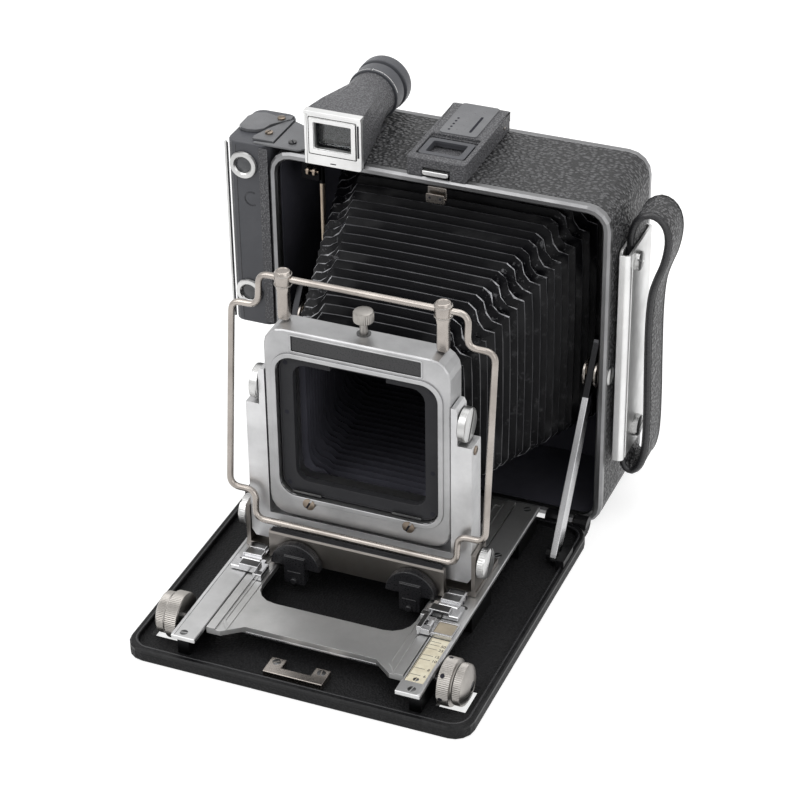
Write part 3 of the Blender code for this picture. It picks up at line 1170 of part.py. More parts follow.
def build_yoke(carriage_body):
    """The tilting yoke that holds the lens frame, with tilt and rise lock knobs."""
    yoke_body = carrier("tilt_axis", (0, TILT_Y, TILT_Z), carriage_body)
    ear_outer = YOKE_INNER + YOKE_EAR
    right = [(YOKE_OUTER - YOKE_CHAMFER, YOKE_LOW), (YOKE_OUTER, YOKE_LOW + YOKE_EAR),
             (YOKE_OUTER, YOKE_STEP),
             (ear_outer, YOKE_STEP), (ear_outer, YOKE_TOP - YOKE_CHAMFER), (ear_outer - BITE, YOKE_TOP),
             (YOKE_INNER, YOKE_TOP), (YOKE_INNER, YOKE_SILL)]
    left = [(-x, z) for x, z in reversed(right)]
    yoke = prism("tilt_yoke", [right + left], "Y", YOKE_FRONT, YOKE_BACK, ALUMINIUM, yoke_body)
    for name, side in SIDES:
        cut_rod(yoke, "X", (TILT_Y, TILT_Z), side * (YOKE_INNER + EMBED), side * (YOKE_OUTER + GAP),
                TILT_PIN + GAP)
        start = YOKE_OUTER + GAP + EAR_THICK + GAP
        knob_body = carrier("tilt_knob_axis_" + name, (side * start, TILT_Y, TILT_Z), carriage_body)
        end = start + TILT_KNOB_LENGTH
        profile = knob_profile(start, end, TILT_KNOB_RADIUS, TILT_PIN, YOKE_INNER + EMBED + 2 * GAP)
        make_knob("tilt_knob_" + name, side, (TILT_Y, TILT_Z), profile, knob_body)
        rise_centre = (TILT_Y, RISE_KNOB_Z)
        cut_rod(yoke, "X", rise_centre, side * (YOKE_INNER - GAP), side * (ear_outer + GAP), RISE_PIN + GAP)
        start = ear_outer + GAP
        knob_body = carrier("rise_knob_axis_" + name, (side * start, TILT_Y, RISE_KNOB_Z), yoke_body)
        end = start + RISE_KNOB_LENGTH
        profile = knob_profile(start, end, RISE_KNOB_RADIUS, RISE_PIN, YOKE_INNER + GAP)
        make_knob("rise_knob_" + name, side, rise_centre, profile, knob_body)
    return yoke_body


def knob_profile(start, end, radius, pin, pin_end):
    """A coin-shaped lock knob on a plain pin."""
    edge = 2 * GAP
    return [(0, end), (radius - edge, end), (radius, end - edge), (radius, start + edge),
            (radius - edge, start), (pin, start), (pin, pin_end), (0, pin_end)]


def make_knob(name, side, centre, profile, body):
    """A lock knob on the left or right side."""
    knob = turned(name, "X", centre, profile, CHROME, body)
    if side < 0:
        knob.rotation_euler = (Matrix.Rotation(math.pi, 4, "Z") @ AXES["X"]).to_euler()


def build_lens_frame(yoke_body):
    """The lens frame with its black seat, bare strip, lock slide and finder posts."""
    frame_body = carrier("rise_axis", (0, -FRAME_FRONT, FRAME_LOW), yoke_body)
    front = -FRAME_FRONT
    frame = prism("lens_frame",
                  [rounded(-FRAME_HALF, FRAME_LOW, FRAME_HALF, FRAME_HIGH, FRAME_CORNER),
                   rounded(-SEAT_HALF - SEAT_LAND, SEAT_LOW - SEAT_LAND, SEAT_HALF + SEAT_LAND,
                           SEAT_HIGH + SEAT_LAND, SEAT_CORNER + SEAT_LAND / 2)],
                  "Y", front, FRAME_BACK, ALUMINIUM, frame_body, bevel=ROUND_EDGE)
    seat_back = front + SEAT_DEPTH
    bezel = rounded(-BEZEL_HALF, BEZEL_LOW, BEZEL_HALF, BEZEL_HIGH, BEZEL_CORNER)
    cut(frame, prism("bezel_recess", [bezel], "Y", front - SEAT_DEPTH, seat_back, group=CUTTERS))
    cut_box(frame, (-STRIP_HALF - GAP, front - STRIP_DEPTH, STRIP_LOW - GAP),
            (STRIP_HALF + GAP, front + STRIP_DEPTH + GAP, STRIP_HIGH + GAP))
    seat_gap = BEZEL_HALF - GAP
    seat = prism("lens_seat",
                 [rounded(-seat_gap, BEZEL_LOW + GAP, seat_gap, BEZEL_HIGH - GAP, BEZEL_CORNER - GAP),
                  rounded(-SEAT_HALF, SEAT_LOW, SEAT_HALF, SEAT_HIGH, SEAT_CORNER)],
                 "Y", seat_back - GAP - SEAT_THICK, seat_back - GAP, MATT, frame_body)
    notch = SEAT_HALF * 0.42
    cut_box(seat, (-notch, seat_back - SEAT_THICK - BITE, SEAT_HIGH - BITE),
            (notch, seat_back + GAP, SEAT_HIGH + SEAT_LAND))
    lock_y = -FRAME_FRONT + FRAME_DEPTH * 0.7
    lock_body = carrier("board_lock_axis", (0, lock_y, FRAME_HIGH), frame_body)
    stem_low = FRAME_HIGH - LOCK_STEM_RISE
    cut_rod(frame, "Z", (0, lock_y), stem_low - GAP, FRAME_HIGH + GAP, LOCK_STEM + GAP)
    head = FRAME_HIGH + LOCK_STEM_RISE
    crown = head + LOCK_HEIGHT
    profile = [(0, crown), (LOCK_RADIUS - SOFT_EDGE, crown), (LOCK_RADIUS, crown - SOFT_EDGE),
               (LOCK_RADIUS, head + KNOB_EDGE), (LOCK_RADIUS - KNOB_EDGE, head), (LOCK_STEM, head),
               (LOCK_STEM, stem_low), (0, stem_low)]
    turned("board_lock_knob", "Z", (0, lock_y), profile, NICKEL, lock_body, steps=16)
    shoulder = WIRE_TOP_Z - POST_HEAD
    crown = WIRE_TOP_Z + POST_HEAD * 0.8
    for name, side in SIDES:
        base = FRAME_HIGH + GAP
        profile = [(0, crown), (POST_HEAD * 0.7, crown), (POST_HEAD, WIRE_TOP_Z + POST_SHOULDER),
                   (POST_HEAD, shoulder + BITE), (POST_RADIUS, shoulder - BITE), (POST_RADIUS, base),
                   (0, base)]
        middle = side * POST_X
        post = turned("finder_post_" + name, "Z", (middle, POST_Y), profile, NICKEL, frame_body, steps=16)
        cut_rod(post, "X", (POST_Y, WIRE_TOP_Z), middle - 2 * POST_HEAD, middle + 2 * POST_HEAD,
                WIRE_RADIUS + GAP, steps=12)
    return frame_body


def bent(route, bend, steps=3):
    """A closed run of points with each corner rounded by a bend."""
    points = []
    count = len(route)
    for index in range(count):
        here = Vector(route[index])
        back = Vector(route[index - 1]) - here
        ahead = Vector(route[(index + 1) % count]) - here
        reach = min(bend, 0.48 * back.length, 0.48 * ahead.length)
        first = here + back.normalized() * reach
        last = here + ahead.normalized() * reach
        for step in range(steps + 1):
            t = step / steps
            points.append(first * (1 - t) ** 2 + here * 2 * t * (1 - t) + last * t * t)
    return points


def build_wire_finder(frame_body):
    """The folding wire frame finder, one bent loop of wire through both posts."""
    wire_body = carrier("wire_axis", (0, POST_Y, WIRE_TOP_Z), frame_body)
    lean = (WIRE_BOTTOM_Y - POST_Y) / (WIRE_TOP_Z - WIRE_BOTTOM_Z)

    def spot(x, z):
        return (x, POST_Y + lean * (WIRE_TOP_Z - z), z)

    right = [spot(WIRE_TOP_JOG, WIRE_TOP_Z), spot(WIRE_TOP_JOG, WIRE_SHOULDER_Z),
             spot(WIRE_HALF, WIRE_SHOULDER_Z), spot(WIRE_HALF, WIRE_FOOT_Z),
             spot(WIRE_BOTTOM_JOG, WIRE_FOOT_Z), spot(WIRE_BOTTOM_JOG, WIRE_BOTTOM_Z)]
    left = [(-x, y, z) for x, y, z in reversed(right)]
    curve = bpy.data.curves.new("wire_finder", "CURVE")
    curve.dimensions = "3D"
    curve.bevel_depth = WIRE_RADIUS
    curve.bevel_resolution = 2
    spline = curve.splines.new("POLY")
    points = bent(right + left, WIRE_BEND)
    spline.points.add(len(points) - 1)
    for point, place in zip(spline.points, points):
        point.co = (*place, 1)
    spline.use_cyclic_u = True
    own(bpy.data.objects.new("wire_finder", curve), NICKEL, wire_body)


def build_struts(shell, bed, bed_body):
    """Folding struts that pivot on the bed and slide on studs in the body."""
    foot = Vector((STRUT_FOOT_Y, STRUT_FOOT_Z))
    stud = Vector((STRUT_STUD_Y, STRUT_STUD_Z))
    along = (stud - foot).normalized()
    across = Vector((-along.y, along.x)) * STRUT_WIDTH / 2
    length = (stud - foot).length
    tip = foot + along * (length + STRUT_SLIDE + STRUT_WIDTH / 2)
    heading = math.degrees(math.atan2(along.y, along.x))
    outline = arc(tip, STRUT_WIDTH / 2, heading - 90, heading + 90, 2 * ARC_STEPS)
    outline += arc(foot, STRUT_WIDTH / 2, heading + 90, heading + 270, 2 * ARC_STEPS)
    hole = circle(foot, STRUT_PIN + GAP, 12)
    half_slot = STRUT_PIN + STRUT_PLAY
    slot_low = foot + along * (length - STRUT_PLAY)
    slot_high = foot + along * (length + STRUT_SLIDE)
    slot = arc(slot_high, half_slot, heading - 90, heading + 90)
    slot += arc(slot_low, half_slot, heading + 90, heading + 270)
    lug_inner = BED_WIDTH / 2 - STRUT_LUG
    wall_inner = BODY_SIDE - INNER_INSET
    for name, side in SIDES:
        strut_body = carrier("strut_axis_" + name, (side * STRUT_X, STRUT_FOOT_Y, STRUT_FOOT_Z), bed_body)
        inner = STRUT_X - STRUT_THICK / 2
        outer = STRUT_X + STRUT_THICK / 2
        faces = sorted((side * inner, side * outer))
        prism("bed_strut_" + name, [outline, hole, slot], "X", faces[0], faces[1], CHROME, strut_body)
        head = inner - GAP
        low, high = mirrored((lug_inner, STRUT_FOOT_Y - STRUT_LUG_HALF, BED_FLOOR - BITE),
                             (BED_WIDTH / 2 - BITE, STRUT_FOOT_Y + STRUT_LUG_HALF, STRUT_FOOT_Z + STRUT_LUG_CROWN), side)
        fuse_box(bed, low, high)
        fuse_rod(bed, "X", foot, side * (lug_inner + BITE), side * head, STRUT_PIN, steps=12)
        fuse_rod(bed, "X", foot, side * head, side * (head - EMBED), STRUT_PIN * 1.9)
        end = wall_inner + WALL - GAP
        roller = [(0, end), (STRUT_PIN, end), (STRUT_PIN, head), (STRUT_ROLLER, head),
                  (STRUT_ROLLER, head - EMBED), (0, head - EMBED)]
        make_stud("strut_roller_" + name, side, (STRUT_STUD_Y, STRUT_STUD_Z), roller, BRASS, None)
        cut_rod(shell, "X", (STRUT_STUD_Y, STRUT_STUD_Z), side * (wall_inner - GAP),
                side * (wall_inner + WALL + GAP), STRUT_PIN + GAP)


def make_stud(name, side, centre, profile, finish, body):
    """A headed stud on the left or right side."""
    stud = turned(name, "X", centre, profile, finish, body, steps=16)
    if side < 0:
        stud.rotation_euler = (Matrix.Rotation(math.pi, 4, "Z") @ AXES["X"]).to_euler()


def main():
    """Build every piece and put the origin in the middle of the footprint."""
    shell = build_casing()
    build_bellows()
    build_housing()
    build_finder()
    build_rangefinder()
    build_strap()
    build_back()
    bed, bed_body = build_bed()
    build_rails(bed_body)
    track_body = build_track(bed_body)
    build_focus_drive(bed_body)
    build_stops(track_body)
    carriage_body = build_carriage(track_body)
    yoke_body = build_yoke(carriage_body)
    frame_body = build_lens_frame(yoke_body)
    build_wire_finder(frame_body)
    build_struts(shell, bed, bed_body)
    ROOT.location = SHIFT
    bpy.context.view_layer.update()


main()
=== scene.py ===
# Looks of the press camera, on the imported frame.
# Places below are in millimetres: X=0 on the middle plane, Y=0 on the front trim's face, Z=0 on the table.
import random
from math import asin, copysign, cos, degrees, pi, radians, sin

import bmesh
import bpy
from mathutils import Matrix, Vector


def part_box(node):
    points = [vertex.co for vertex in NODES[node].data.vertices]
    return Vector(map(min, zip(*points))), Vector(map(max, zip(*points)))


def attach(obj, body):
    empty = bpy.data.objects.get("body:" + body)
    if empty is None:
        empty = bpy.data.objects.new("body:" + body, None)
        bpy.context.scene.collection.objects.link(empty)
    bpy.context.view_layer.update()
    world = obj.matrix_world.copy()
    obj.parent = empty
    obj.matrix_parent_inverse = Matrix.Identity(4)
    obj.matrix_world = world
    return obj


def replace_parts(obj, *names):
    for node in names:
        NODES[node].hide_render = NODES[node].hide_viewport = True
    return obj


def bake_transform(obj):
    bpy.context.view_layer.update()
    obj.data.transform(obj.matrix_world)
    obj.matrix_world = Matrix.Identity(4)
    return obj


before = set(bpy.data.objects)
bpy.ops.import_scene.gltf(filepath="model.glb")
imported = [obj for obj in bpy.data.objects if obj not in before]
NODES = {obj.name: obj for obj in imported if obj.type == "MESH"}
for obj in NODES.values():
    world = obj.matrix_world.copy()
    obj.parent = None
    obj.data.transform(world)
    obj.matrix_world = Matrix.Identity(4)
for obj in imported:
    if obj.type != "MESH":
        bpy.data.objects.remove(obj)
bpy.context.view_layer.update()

MM = 0.001
SHIFT_Y = 42.8  # from the front trim's face to the row frame
SIDES = (("left", -1), ("right", 1))
UP, FRONT, REAR, RIGHT = (0, 0, 1), (0, -1, 0), (0, 1, 0), (1, 0, 0)
RNG = random.Random(7)  # bellows first, then the rail screws


def at(x, y, z):
    """A place in millimetres as a point of the row frame."""
    return Vector((x * MM, (y + SHIFT_Y) * MM, z * MM))


def facing(point, direction, twist=0.0):
    """A frame in millimetres at a place, its Z along a direction."""
    turn = Vector(direction).to_track_quat("Z", "Y").to_matrix().to_4x4()
    spin = Matrix.Rotation(radians(twist), 4, "Z")
    return Matrix.Translation(at(*point)) @ turn @ spin @ Matrix.Scale(MM, 4)


FLAT = Matrix.Translation(at(0, 0, 0)) @ Matrix.Scale(MM, 4)


# Materials

class Paint:
    """A Principled material that is put together from textures in object space."""

    def __init__(self, name, colour, rough, metal=0.0, **sockets):
        self.made = bpy.data.materials.new(name)
        self.made.use_nodes = True
        self.tree = self.made.node_tree
        self.base = self.tree.nodes["Principled BSDF"]
        self.base.inputs["Base Color"].default_value = (*colour, 1)
        self.base.inputs["Roughness"].default_value = rough
        self.base.inputs["Metallic"].default_value = metal
        for socket, value in sockets.items():
            self.base.inputs[socket.replace("_", " ")].default_value = value
        self.place = self.tree.nodes.new("ShaderNodeTexCoord").outputs["Object"]

    def node(self, kind, settings=None, **inputs):
        made = self.tree.nodes.new("ShaderNode" + kind)
        for key, value in (settings or {}).items():
            setattr(made, key, value)
        for key, value in inputs.items():
            socket = made.inputs[int(key[1:])] if key[1:].isdigit() else made.inputs[key.replace("_", " ")]
            if hasattr(value, "is_output"):
                self.tree.links.new(value, socket)
            else:
                socket.default_value = value
        return made

    def vector(self, operation, first, **inputs):
        return self.node("VectorMath", {"operation": operation}, i0=first, **inputs).outputs[0]

    def noise(self, scale, detail=3.0, stretch=None, roughness=0.5):
        place = self.vector("MULTIPLY", self.place, i1=stretch) if stretch else self.place
        return self.node("TexNoise", None, Vector=place, Scale=scale, Detail=detail,
                         Roughness=roughness).outputs["Fac"]

    def cells(self, scale, place):
        return self.node("TexVoronoi", {"feature": "F1"}, Vector=place, Scale=scale).outputs["Distance"]

    def between(self, value, low, high, to_low=0, to_high=1):
        return self.node("MapRange", None, Value=value, From_Min=low, From_Max=high, To_Min=to_low,
                         To_Max=to_high).outputs["Result"]

    def sums(self, first, second, operation="ADD"):
        return self.node("Math", {"operation": operation}, i0=first, i1=second).outputs[0]

    def mix(self, share, first, second):
        first, second = (value if hasattr(value, "is_output") else (*value, 1) for value in (first, second))
        return self.node("Mix", {"data_type": "RGBA"}, Factor=share, i6=first, i7=second).outputs[2]

    def colour(self, socket):
        self.tree.links.new(socket, self.base.inputs["Base Color"])

    def rough(self, socket):
        self.tree.links.new(socket, self.base.inputs["Roughness"])

    def bump(self, height, distance, strength=1.0):
        made = self.node("Bump", None, Height=height, Distance=distance, Strength=strength)
        self.tree.links.new(made.outputs["Normal"], self.base.inputs["Normal"])
        return self


def metal(name, dark, light, rough, grain=5e-6, shade_below=None, black_above=None, dark_tone=0.028):
    """Worn metal: cloudy tarnish, uneven gloss and a fine grain; dark below or above a given height, as painted shade
    on the rails and the rod's bracket.
    """
    paint = Paint(name, light, rough, 1.0)
    cloud = paint.noise(55, 5, roughness=0.6)
    speck = paint.noise(1900, 2)
    tone = paint.mix(paint.between(cloud, 0.3, 0.7), dark, light)
    # Below or above the height the colour turns to a dark tone: painted shade under the rails and on the rod's bracket.
    level = shade_below or black_above
    if level:
        height = paint.node("SeparateXYZ", None, Vector=paint.place).outputs["Z"]
        metal_share = paint.between(height, (level - 0.1) * MM, level * MM, *((0, 1) if shade_below else (1, 0)))
        tone = paint.mix(metal_share, (dark_tone, dark_tone, 1.07 * dark_tone), tone)
    paint.colour(tone)
    paint.rough(paint.sums(paint.between(cloud, 0.25, 0.75, rough + 0.06, rough - 0.05),
                           paint.between(speck, 0.3, 0.7, -0.012, 0.016)))
    return paint.bump(speck, grain, 0.6).made


def leather(name, dark, light, pitch, depth, low, high, shine, stretch=1.0):
    """Pebbled leather: rounded cells with shiny tops and dull valleys, the tops painted lighter as a painted highlight.
    """
    paint = Paint(name, dark, low, Specular_IOR_Level=shine)
    warp = paint.node("TexNoise", None, Vector=paint.place, Scale=1 / pitch / 3, Detail=2.0).outputs["Color"]
    push = paint.vector("SCALE", warp, Scale=pitch * 0.9)
    place = paint.vector("MULTIPLY", paint.vector("ADD", paint.place, i1=push), i1=(stretch, 1.0, 1.0))
    top = paint.between(paint.cells(1 / pitch, place), 0.18, 0.62, 1, 0)
    fine = paint.noise(3 / pitch, 2)
    wide = paint.noise(30, 3)
    # Lighter pebble tops: painted highlight.
    paint.colour(paint.mix(top, dark, light))
    paint.rough(paint.sums(paint.between(top, 0, 1, high, low), paint.between(wide, 0.3, 0.7, -0.06, 0.06)))
    return paint.bump(paint.sums(top, paint.between(fine, 0, 1, 0, 0.25)), depth, 0.9).made


def enamel(name, dark, light, pitch, depth, rough, clear):
    """Painted metal with a fine crinkle and rubbed spots."""
    paint = Paint(name, dark, rough, Specular_IOR_Level=clear)
    grain = paint.noise(1 / pitch, 3, roughness=0.6)
    rub = paint.noise(45, 6, roughness=0.65)
    paint.colour(paint.mix(paint.between(rub, 0.45, 0.8), dark, light))
    paint.rough(paint.between(grain, 0.3, 0.7, rough - 0.08, rough + 0.1))
    return paint.bump(grain, depth, 0.8).made


def plain_glass(name, tint, rough):
    """Clear glass with faint smears."""
    paint = Paint(name, tint, rough, Transmission_Weight=1.0, IOR=1.5)
    paint.rough(paint.between(paint.noise(160, 4), 0.3, 0.8, rough, rough + 0.05))
    return paint.bump(paint.noise(60, 2), 2e-5, 0.3).made


def bed_paint():
    """Leathery black floor inside a smooth worn rim."""
    paint = Paint("bed_black", (0.01, 0.01, 0.011), 0.5, Specular_IOR_Level=0.2)
    parts = paint.node("SeparateXYZ", None, Vector=paint.place)
    height = paint.between(parts.outputs["Z"], 0.0042, 0.0046)
    cell = paint.cells(880, paint.place)
    grain = paint.sums(paint.between(cell, 0.1, 0.8, 1, 0), paint.noise(2600, 2))
    wear = paint.noise(70, 6, roughness=0.7)
    edge = paint.sums(height, paint.between(wear, 0.5, 0.85), "MULTIPLY")
    pebbles = paint.mix(paint.between(cell, 0.1, 0.8, 1, 0), (0.0035, 0.0035, 0.004), (0.011, 0.011, 0.012))
    paint.colour(paint.mix(edge, pebbles, (0.03, 0.03, 0.031)))
    paint.rough(paint.between(height, 0, 1, 0.55, 0.36))
    rise = paint.sums(grain, paint.between(height, 0, 1, 1, 0.12), "MULTIPLY")
    return paint.bump(rise, 0.00022, 0.9).made


def cloth_paint(name, dark, light, rough, shine, patch=90, reach=(0.35, 0.8)):
    """Coated bellows cloth: fine weave under a dull coat, lighter in cloudy patches; on the corner, side, crest and
    glint finishes these patches are painted sheen and highlights.
    """
    paint = Paint(name, dark, rough, Specular_IOR_Level=shine)
    weave = paint.sums(paint.noise(1500, 2, (1, 0.2, 1)), paint.noise(1500, 2, (0.2, 1, 0.2)))
    cloud = paint.noise(patch, 5, roughness=0.65)
    paint.colour(paint.mix(paint.between(cloud, *reach), dark, light))
    paint.rough(paint.between(cloud, 0.3, 0.7, rough + 0.08, rough - 0.12))
    return paint.bump(weave, 0.0001, 0.6).made


def ivory_paint(name, clean, stained):
    """Yellowed plate with stains."""
    paint = Paint(name, clean, 0.42, Specular_IOR_Level=0.5)
    stain = paint.noise(120, 6, roughness=0.7)
    paint.colour(paint.mix(paint.between(stain, 0.4, 0.75), clean, stained))
    paint.rough(paint.between(stain, 0.3, 0.7, 0.36, 0.5))
    return paint.bump(paint.noise(2400, 2), 3e-5, 0.5).made


ALUMINIUM = metal("satin_aluminium", (0.5, 0.5, 0.505), (0.66, 0.66, 0.665), 0.4, 3e-6)
FRAME = metal("frame_alloy", (0.34, 0.34, 0.344), (0.46, 0.46, 0.465), 0.38, 3e-6)
TRIM = metal("trim_alloy", (0.18, 0.18, 0.184), (0.27, 0.27, 0.275), 0.34, 3e-6)
# Dark below 13.4 mm: painted shadow under the rail.
RAIL = metal("rail_alloy", (0.46, 0.46, 0.46), (0.6, 0.6, 0.6), 0.4, 3e-6, shade_below=13.4)
TRACK = metal("track_alloy", (0.43, 0.43, 0.425), (0.56, 0.56, 0.555), 0.42, 3e-6)
NICKEL = metal("warm_nickel", (0.28, 0.253, 0.232), (0.42, 0.386, 0.355), 0.27, 2e-6)
BAR = metal("bar_nickel", (0.24, 0.222, 0.205), (0.34, 0.317, 0.294), 0.34, 2e-6)
KNURL = metal("knurled_nickel", (0.28, 0.265, 0.25), (0.43, 0.41, 0.385), 0.36)
COIN = metal("satin_knob", (0.46, 0.46, 0.455), (0.6, 0.6, 0.595), 0.3, 2e-6)
CHROME = metal("chrome_plate", (0.46, 0.46, 0.47), (0.62, 0.62, 0.63), 0.2, 2e-6)
BRASS = metal("dull_brass", (0.19, 0.152, 0.12), (0.33, 0.275, 0.222), 0.32)
STEEL = metal("blued_screw", (0.06, 0.06, 0.062), (0.15, 0.15, 0.15), 0.3)
BRIGHT = metal("pale_plate", (0.68, 0.68, 0.675), (0.82, 0.82, 0.815), 0.4, 3e-6)
STRUT = metal("strut_alloy", (0.46, 0.46, 0.47), (0.62, 0.62, 0.63), 0.22, 2e-6, black_above=72)
# Near black above 150 mm: the rod's bracket painted dark as painted shade.
ROD = metal("rod_brass", (0.27, 0.22, 0.17), (0.45, 0.38, 0.305), 0.32, black_above=150, dark_tone=0.006)
LEATHER = leather("pebbled_leather", (0.006, 0.006, 0.007), (0.11, 0.11, 0.116), 0.0017, 0.0013, 0.28, 0.5, 0.5, 0.75)
STRAP = leather("strap_leather", (0.01, 0.01, 0.011), (0.17, 0.17, 0.176), 0.0015, 0.0009, 0.28, 0.5, 0.5)
CRINKLE = leather("crinkle_black", (0.06, 0.06, 0.065), (0.155, 0.155, 0.164), 0.0009, 0.0003, 0.36, 0.52, 0.5)
BED = bed_paint()
SLATE = enamel("slate_enamel", (0.068, 0.07, 0.079), (0.09, 0.093, 0.103), 0.0009, 1e-5, 0.4, 0.4)
# A lighter copy of the grey enamel for top plates: painted light from above.
LIT_TOP = enamel("lit_top_enamel", (0.13, 0.132, 0.14), (0.19, 0.192, 0.2), 0.0009, 1e-5, 0.34, 0.5)
GLOSS = enamel("black_enamel", (0.016, 0.016, 0.018), (0.032, 0.032, 0.034), 0.0007, 1e-5, 0.3, 0.5)
MATT = enamel("matt_black", (0.028, 0.028, 0.031), (0.04, 0.04, 0.043), 0.0005, 4e-5, 0.55, 0.2)
# Black lifted well above the matt black: painted haze, standing in for stray light in the shaded inside.
INNER = enamel("inside_black", (0.06, 0.06, 0.075), (0.078, 0.078, 0.096), 0.0005, 4e-5, 0.75, 0.05)
# Black for printed marks, and painted shade for holes and slots drawn as dark discs, sheets and floors.
DARK = enamel("mark_and_shade_black", (0.03, 0.03, 0.038), (0.045, 0.045, 0.054), 0.0005, 4e-5, 0.75, 0.05)
CLOTH = cloth_paint("bellows_cloth", (0.0025, 0.0025, 0.0034), (0.006, 0.006, 0.0072), 0.5, 0.12)
# Painted sheen on the corner facets, with bright streaks.
SHEEN = cloth_paint("bellows_corner", (0.002, 0.002, 0.003), (0.14, 0.14, 0.147), 0.42, 0.12, 380, (0.58, 0.72))
# Painted sheen in lighter patches on the sides.
SIDE_SHEEN = cloth_paint("bellows_side_sheen", (0.0025, 0.0025, 0.0035), (0.06, 0.06, 0.064), 0.42, 0.16, 200, (0.58, 0.78))
# Painted glints on the crests at the corners.
GLINT = cloth_paint("bellows_glint", (0.05, 0.05, 0.054), (0.42, 0.42, 0.44), 0.32, 0.45, 260, (0.4, 0.6))
# Pleat crests painted lighter: painted highlight along each crest.
CREASE = cloth_paint("bellows_crease", (0.035, 0.035, 0.039), (0.12, 0.12, 0.128), 0.42, 0.25)
IVORY = ivory_paint("ivory", (0.75, 0.7, 0.55), (0.55, 0.48, 0.34))
TAN = ivory_paint("tan_pane", (0.3, 0.26, 0.2), (0.42, 0.36, 0.27))
GLASS = plain_glass("clear_glass", (0.9, 0.94, 0.95), 0.02)
FROSTED = plain_glass("frosted_glass", (0.85, 0.87, 0.86), 0.45)
LENS = Paint("coated_lens", (0.05, 0.055, 0.062), 0.08, Specular_IOR_Level=0.5)
LENS.colour(LENS.mix(LENS.between(LENS.noise(110, 3), 0.35, 0.7), (0.03, 0.033, 0.038), (0.12, 0.125, 0.13)))
LENS = LENS.made


# Shapes

def solid(name, bm, *finishes):
    """An object from a mesh, its faces turned outward."""
    bmesh.ops.recalc_face_normals(bm, faces=bm.faces)
    mesh = bpy.data.meshes.new(name)
    bm.to_mesh(mesh)
    bm.free()
    for finish in finishes:
        mesh.materials.append(finish)
    obj = bpy.data.objects.new(name, mesh)
    bpy.context.scene.collection.objects.link(obj)
    return obj


def piece(name, bm, finish, body, bevel=0.0, angle=32, extra=()):
    """Finish a mesh as a piece that rides on a body; without one, it is left unattached."""
    bmesh.ops.remove_doubles(bm, verts=bm.verts, dist=1e-7)
    obj = solid(name, bm, finish, *extra)
    obj.data.shade_smooth()
    obj.data.set_sharp_from_angle(angle=radians(angle))
    if bevel:
        soften(obj, bevel)
    if body:
        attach(obj, body)
    return obj


def soften(obj, width):
    """Small rounded edges."""
    rounding = obj.modifiers.new("soft_edges", "BEVEL")
    rounding.width = width * MM
    rounding.segments = 2
    rounding.limit_method = "ANGLE"
    rounding.angle_limit = radians(38)
    rounding.harden_normals = True


def skin(bm, loops, matrix, closed=False, caps=True, twist=0):
    """Faces over equal loops of points, in a millimetre frame; a closed skin may meet its start turned by a twist."""
    rings = [[bm.verts.new(matrix @ Vector(point)) for point in loop] for loop in loops]
    pairs = list(zip(rings, rings[1:]))
    if closed:
        pairs.append((rings[-1], rings[0][twist:] + rings[0][:twist]))
    faces = []
    for ring, following in pairs:
        for index in range(len(ring)):
            after = (index + 1) % len(ring)
            faces.append(bm.faces.new((ring[index], ring[after], following[after], following[index])))
    if caps and not closed:
        bm.faces.new(rings[0])
        bm.faces.new(rings[-1])
    return faces


def block(bm, low, high, matrix=FLAT):
    """A box between two corners."""
    x0, y0, z0 = low
    x1, y1, z1 = high
    skin(bm, [[(x0, y0, z), (x1, y0, z), (x1, y1, z), (x0, y1, z)] for z in (z0, z1)], matrix)


def arc(u, v, radius, start, end, steps=6):
    """Points along an arc, angles in degrees."""
    turns = [radians(start + (end - start) * step / steps) for step in range(steps + 1)]
    return [(u + radius * cos(turn), v + radius * sin(turn)) for turn in turns]


def rounded(low_u, low_v, high_u, high_v, radius, steps=6):
    """A rectangle with round corners."""
    return (arc(high_u - radius, high_v - radius, radius, 0, 90, steps)
            + arc(low_u + radius, high_v - radius, radius, 90, 180, steps)
            + arc(low_u + radius, low_v + radius, radius, 180, 270, steps)
            + arc(high_u - radius, low_v + radius, radius, 270, 360, steps))


LIFT = {"X": lambda u, v, w: (w, u, v), "Y": lambda u, v, w: (u, w, v), "Z": lambda u, v, w: (u, v, w)}


def plate(bm, outline, axis, start, end):
    """A flat outline drawn across an axis and given a thickness along it."""
    skin(bm, [[LIFT[axis](u, v, w) for u, v in outline] for w in (start, end)], FLAT)


def frame_ring(bm, outer, inner, axis, start, end):
    """A flat ring between two outlines with equal counts."""
    loops = [[LIFT[axis](u, v, w) for u, v in outline]
             for outline, w in ((outer, start), (outer, end), (inner, end), (inner, start))]
    skin(bm, loops, FLAT, closed=True)


def border(bm, outer, inner, axis, start, end):
    """A flat ring between two rectangles with round corners, given as for rounded()."""
    frame_ring(bm, rounded(*outer), rounded(*inner), axis, start, end)


def lathe(bm, profile, matrix, steps, teeth=0.0):
    """A turned shape about Z: (radius, height) or (radius, height, knurled) points, ends on the axis or a ring."""
    closed = len(profile) > 2 and profile[0][:2] == profile[-1][:2]
    loops = []
    for point in profile[:-1] if closed else profile:
        cut_in = teeth if len(point) > 2 and point[2] else 0.0
        loop = []
        for step in range(steps):
            radius = max(point[0] - (cut_in if step % 2 else 0.0), 0.0)
            turn = 2 * pi * step / steps
            loop.append((radius * cos(turn), radius * sin(turn), point[1]))
        loops.append(loop)
    skin(bm, loops, matrix, closed=closed, caps=not closed)


def disc(bm, radius, height, matrix, steps):
    """A plain round disc or rod along Z."""
    lathe(bm, [(0, 0), (radius, 0), (radius, height), (0, height)], matrix, steps)


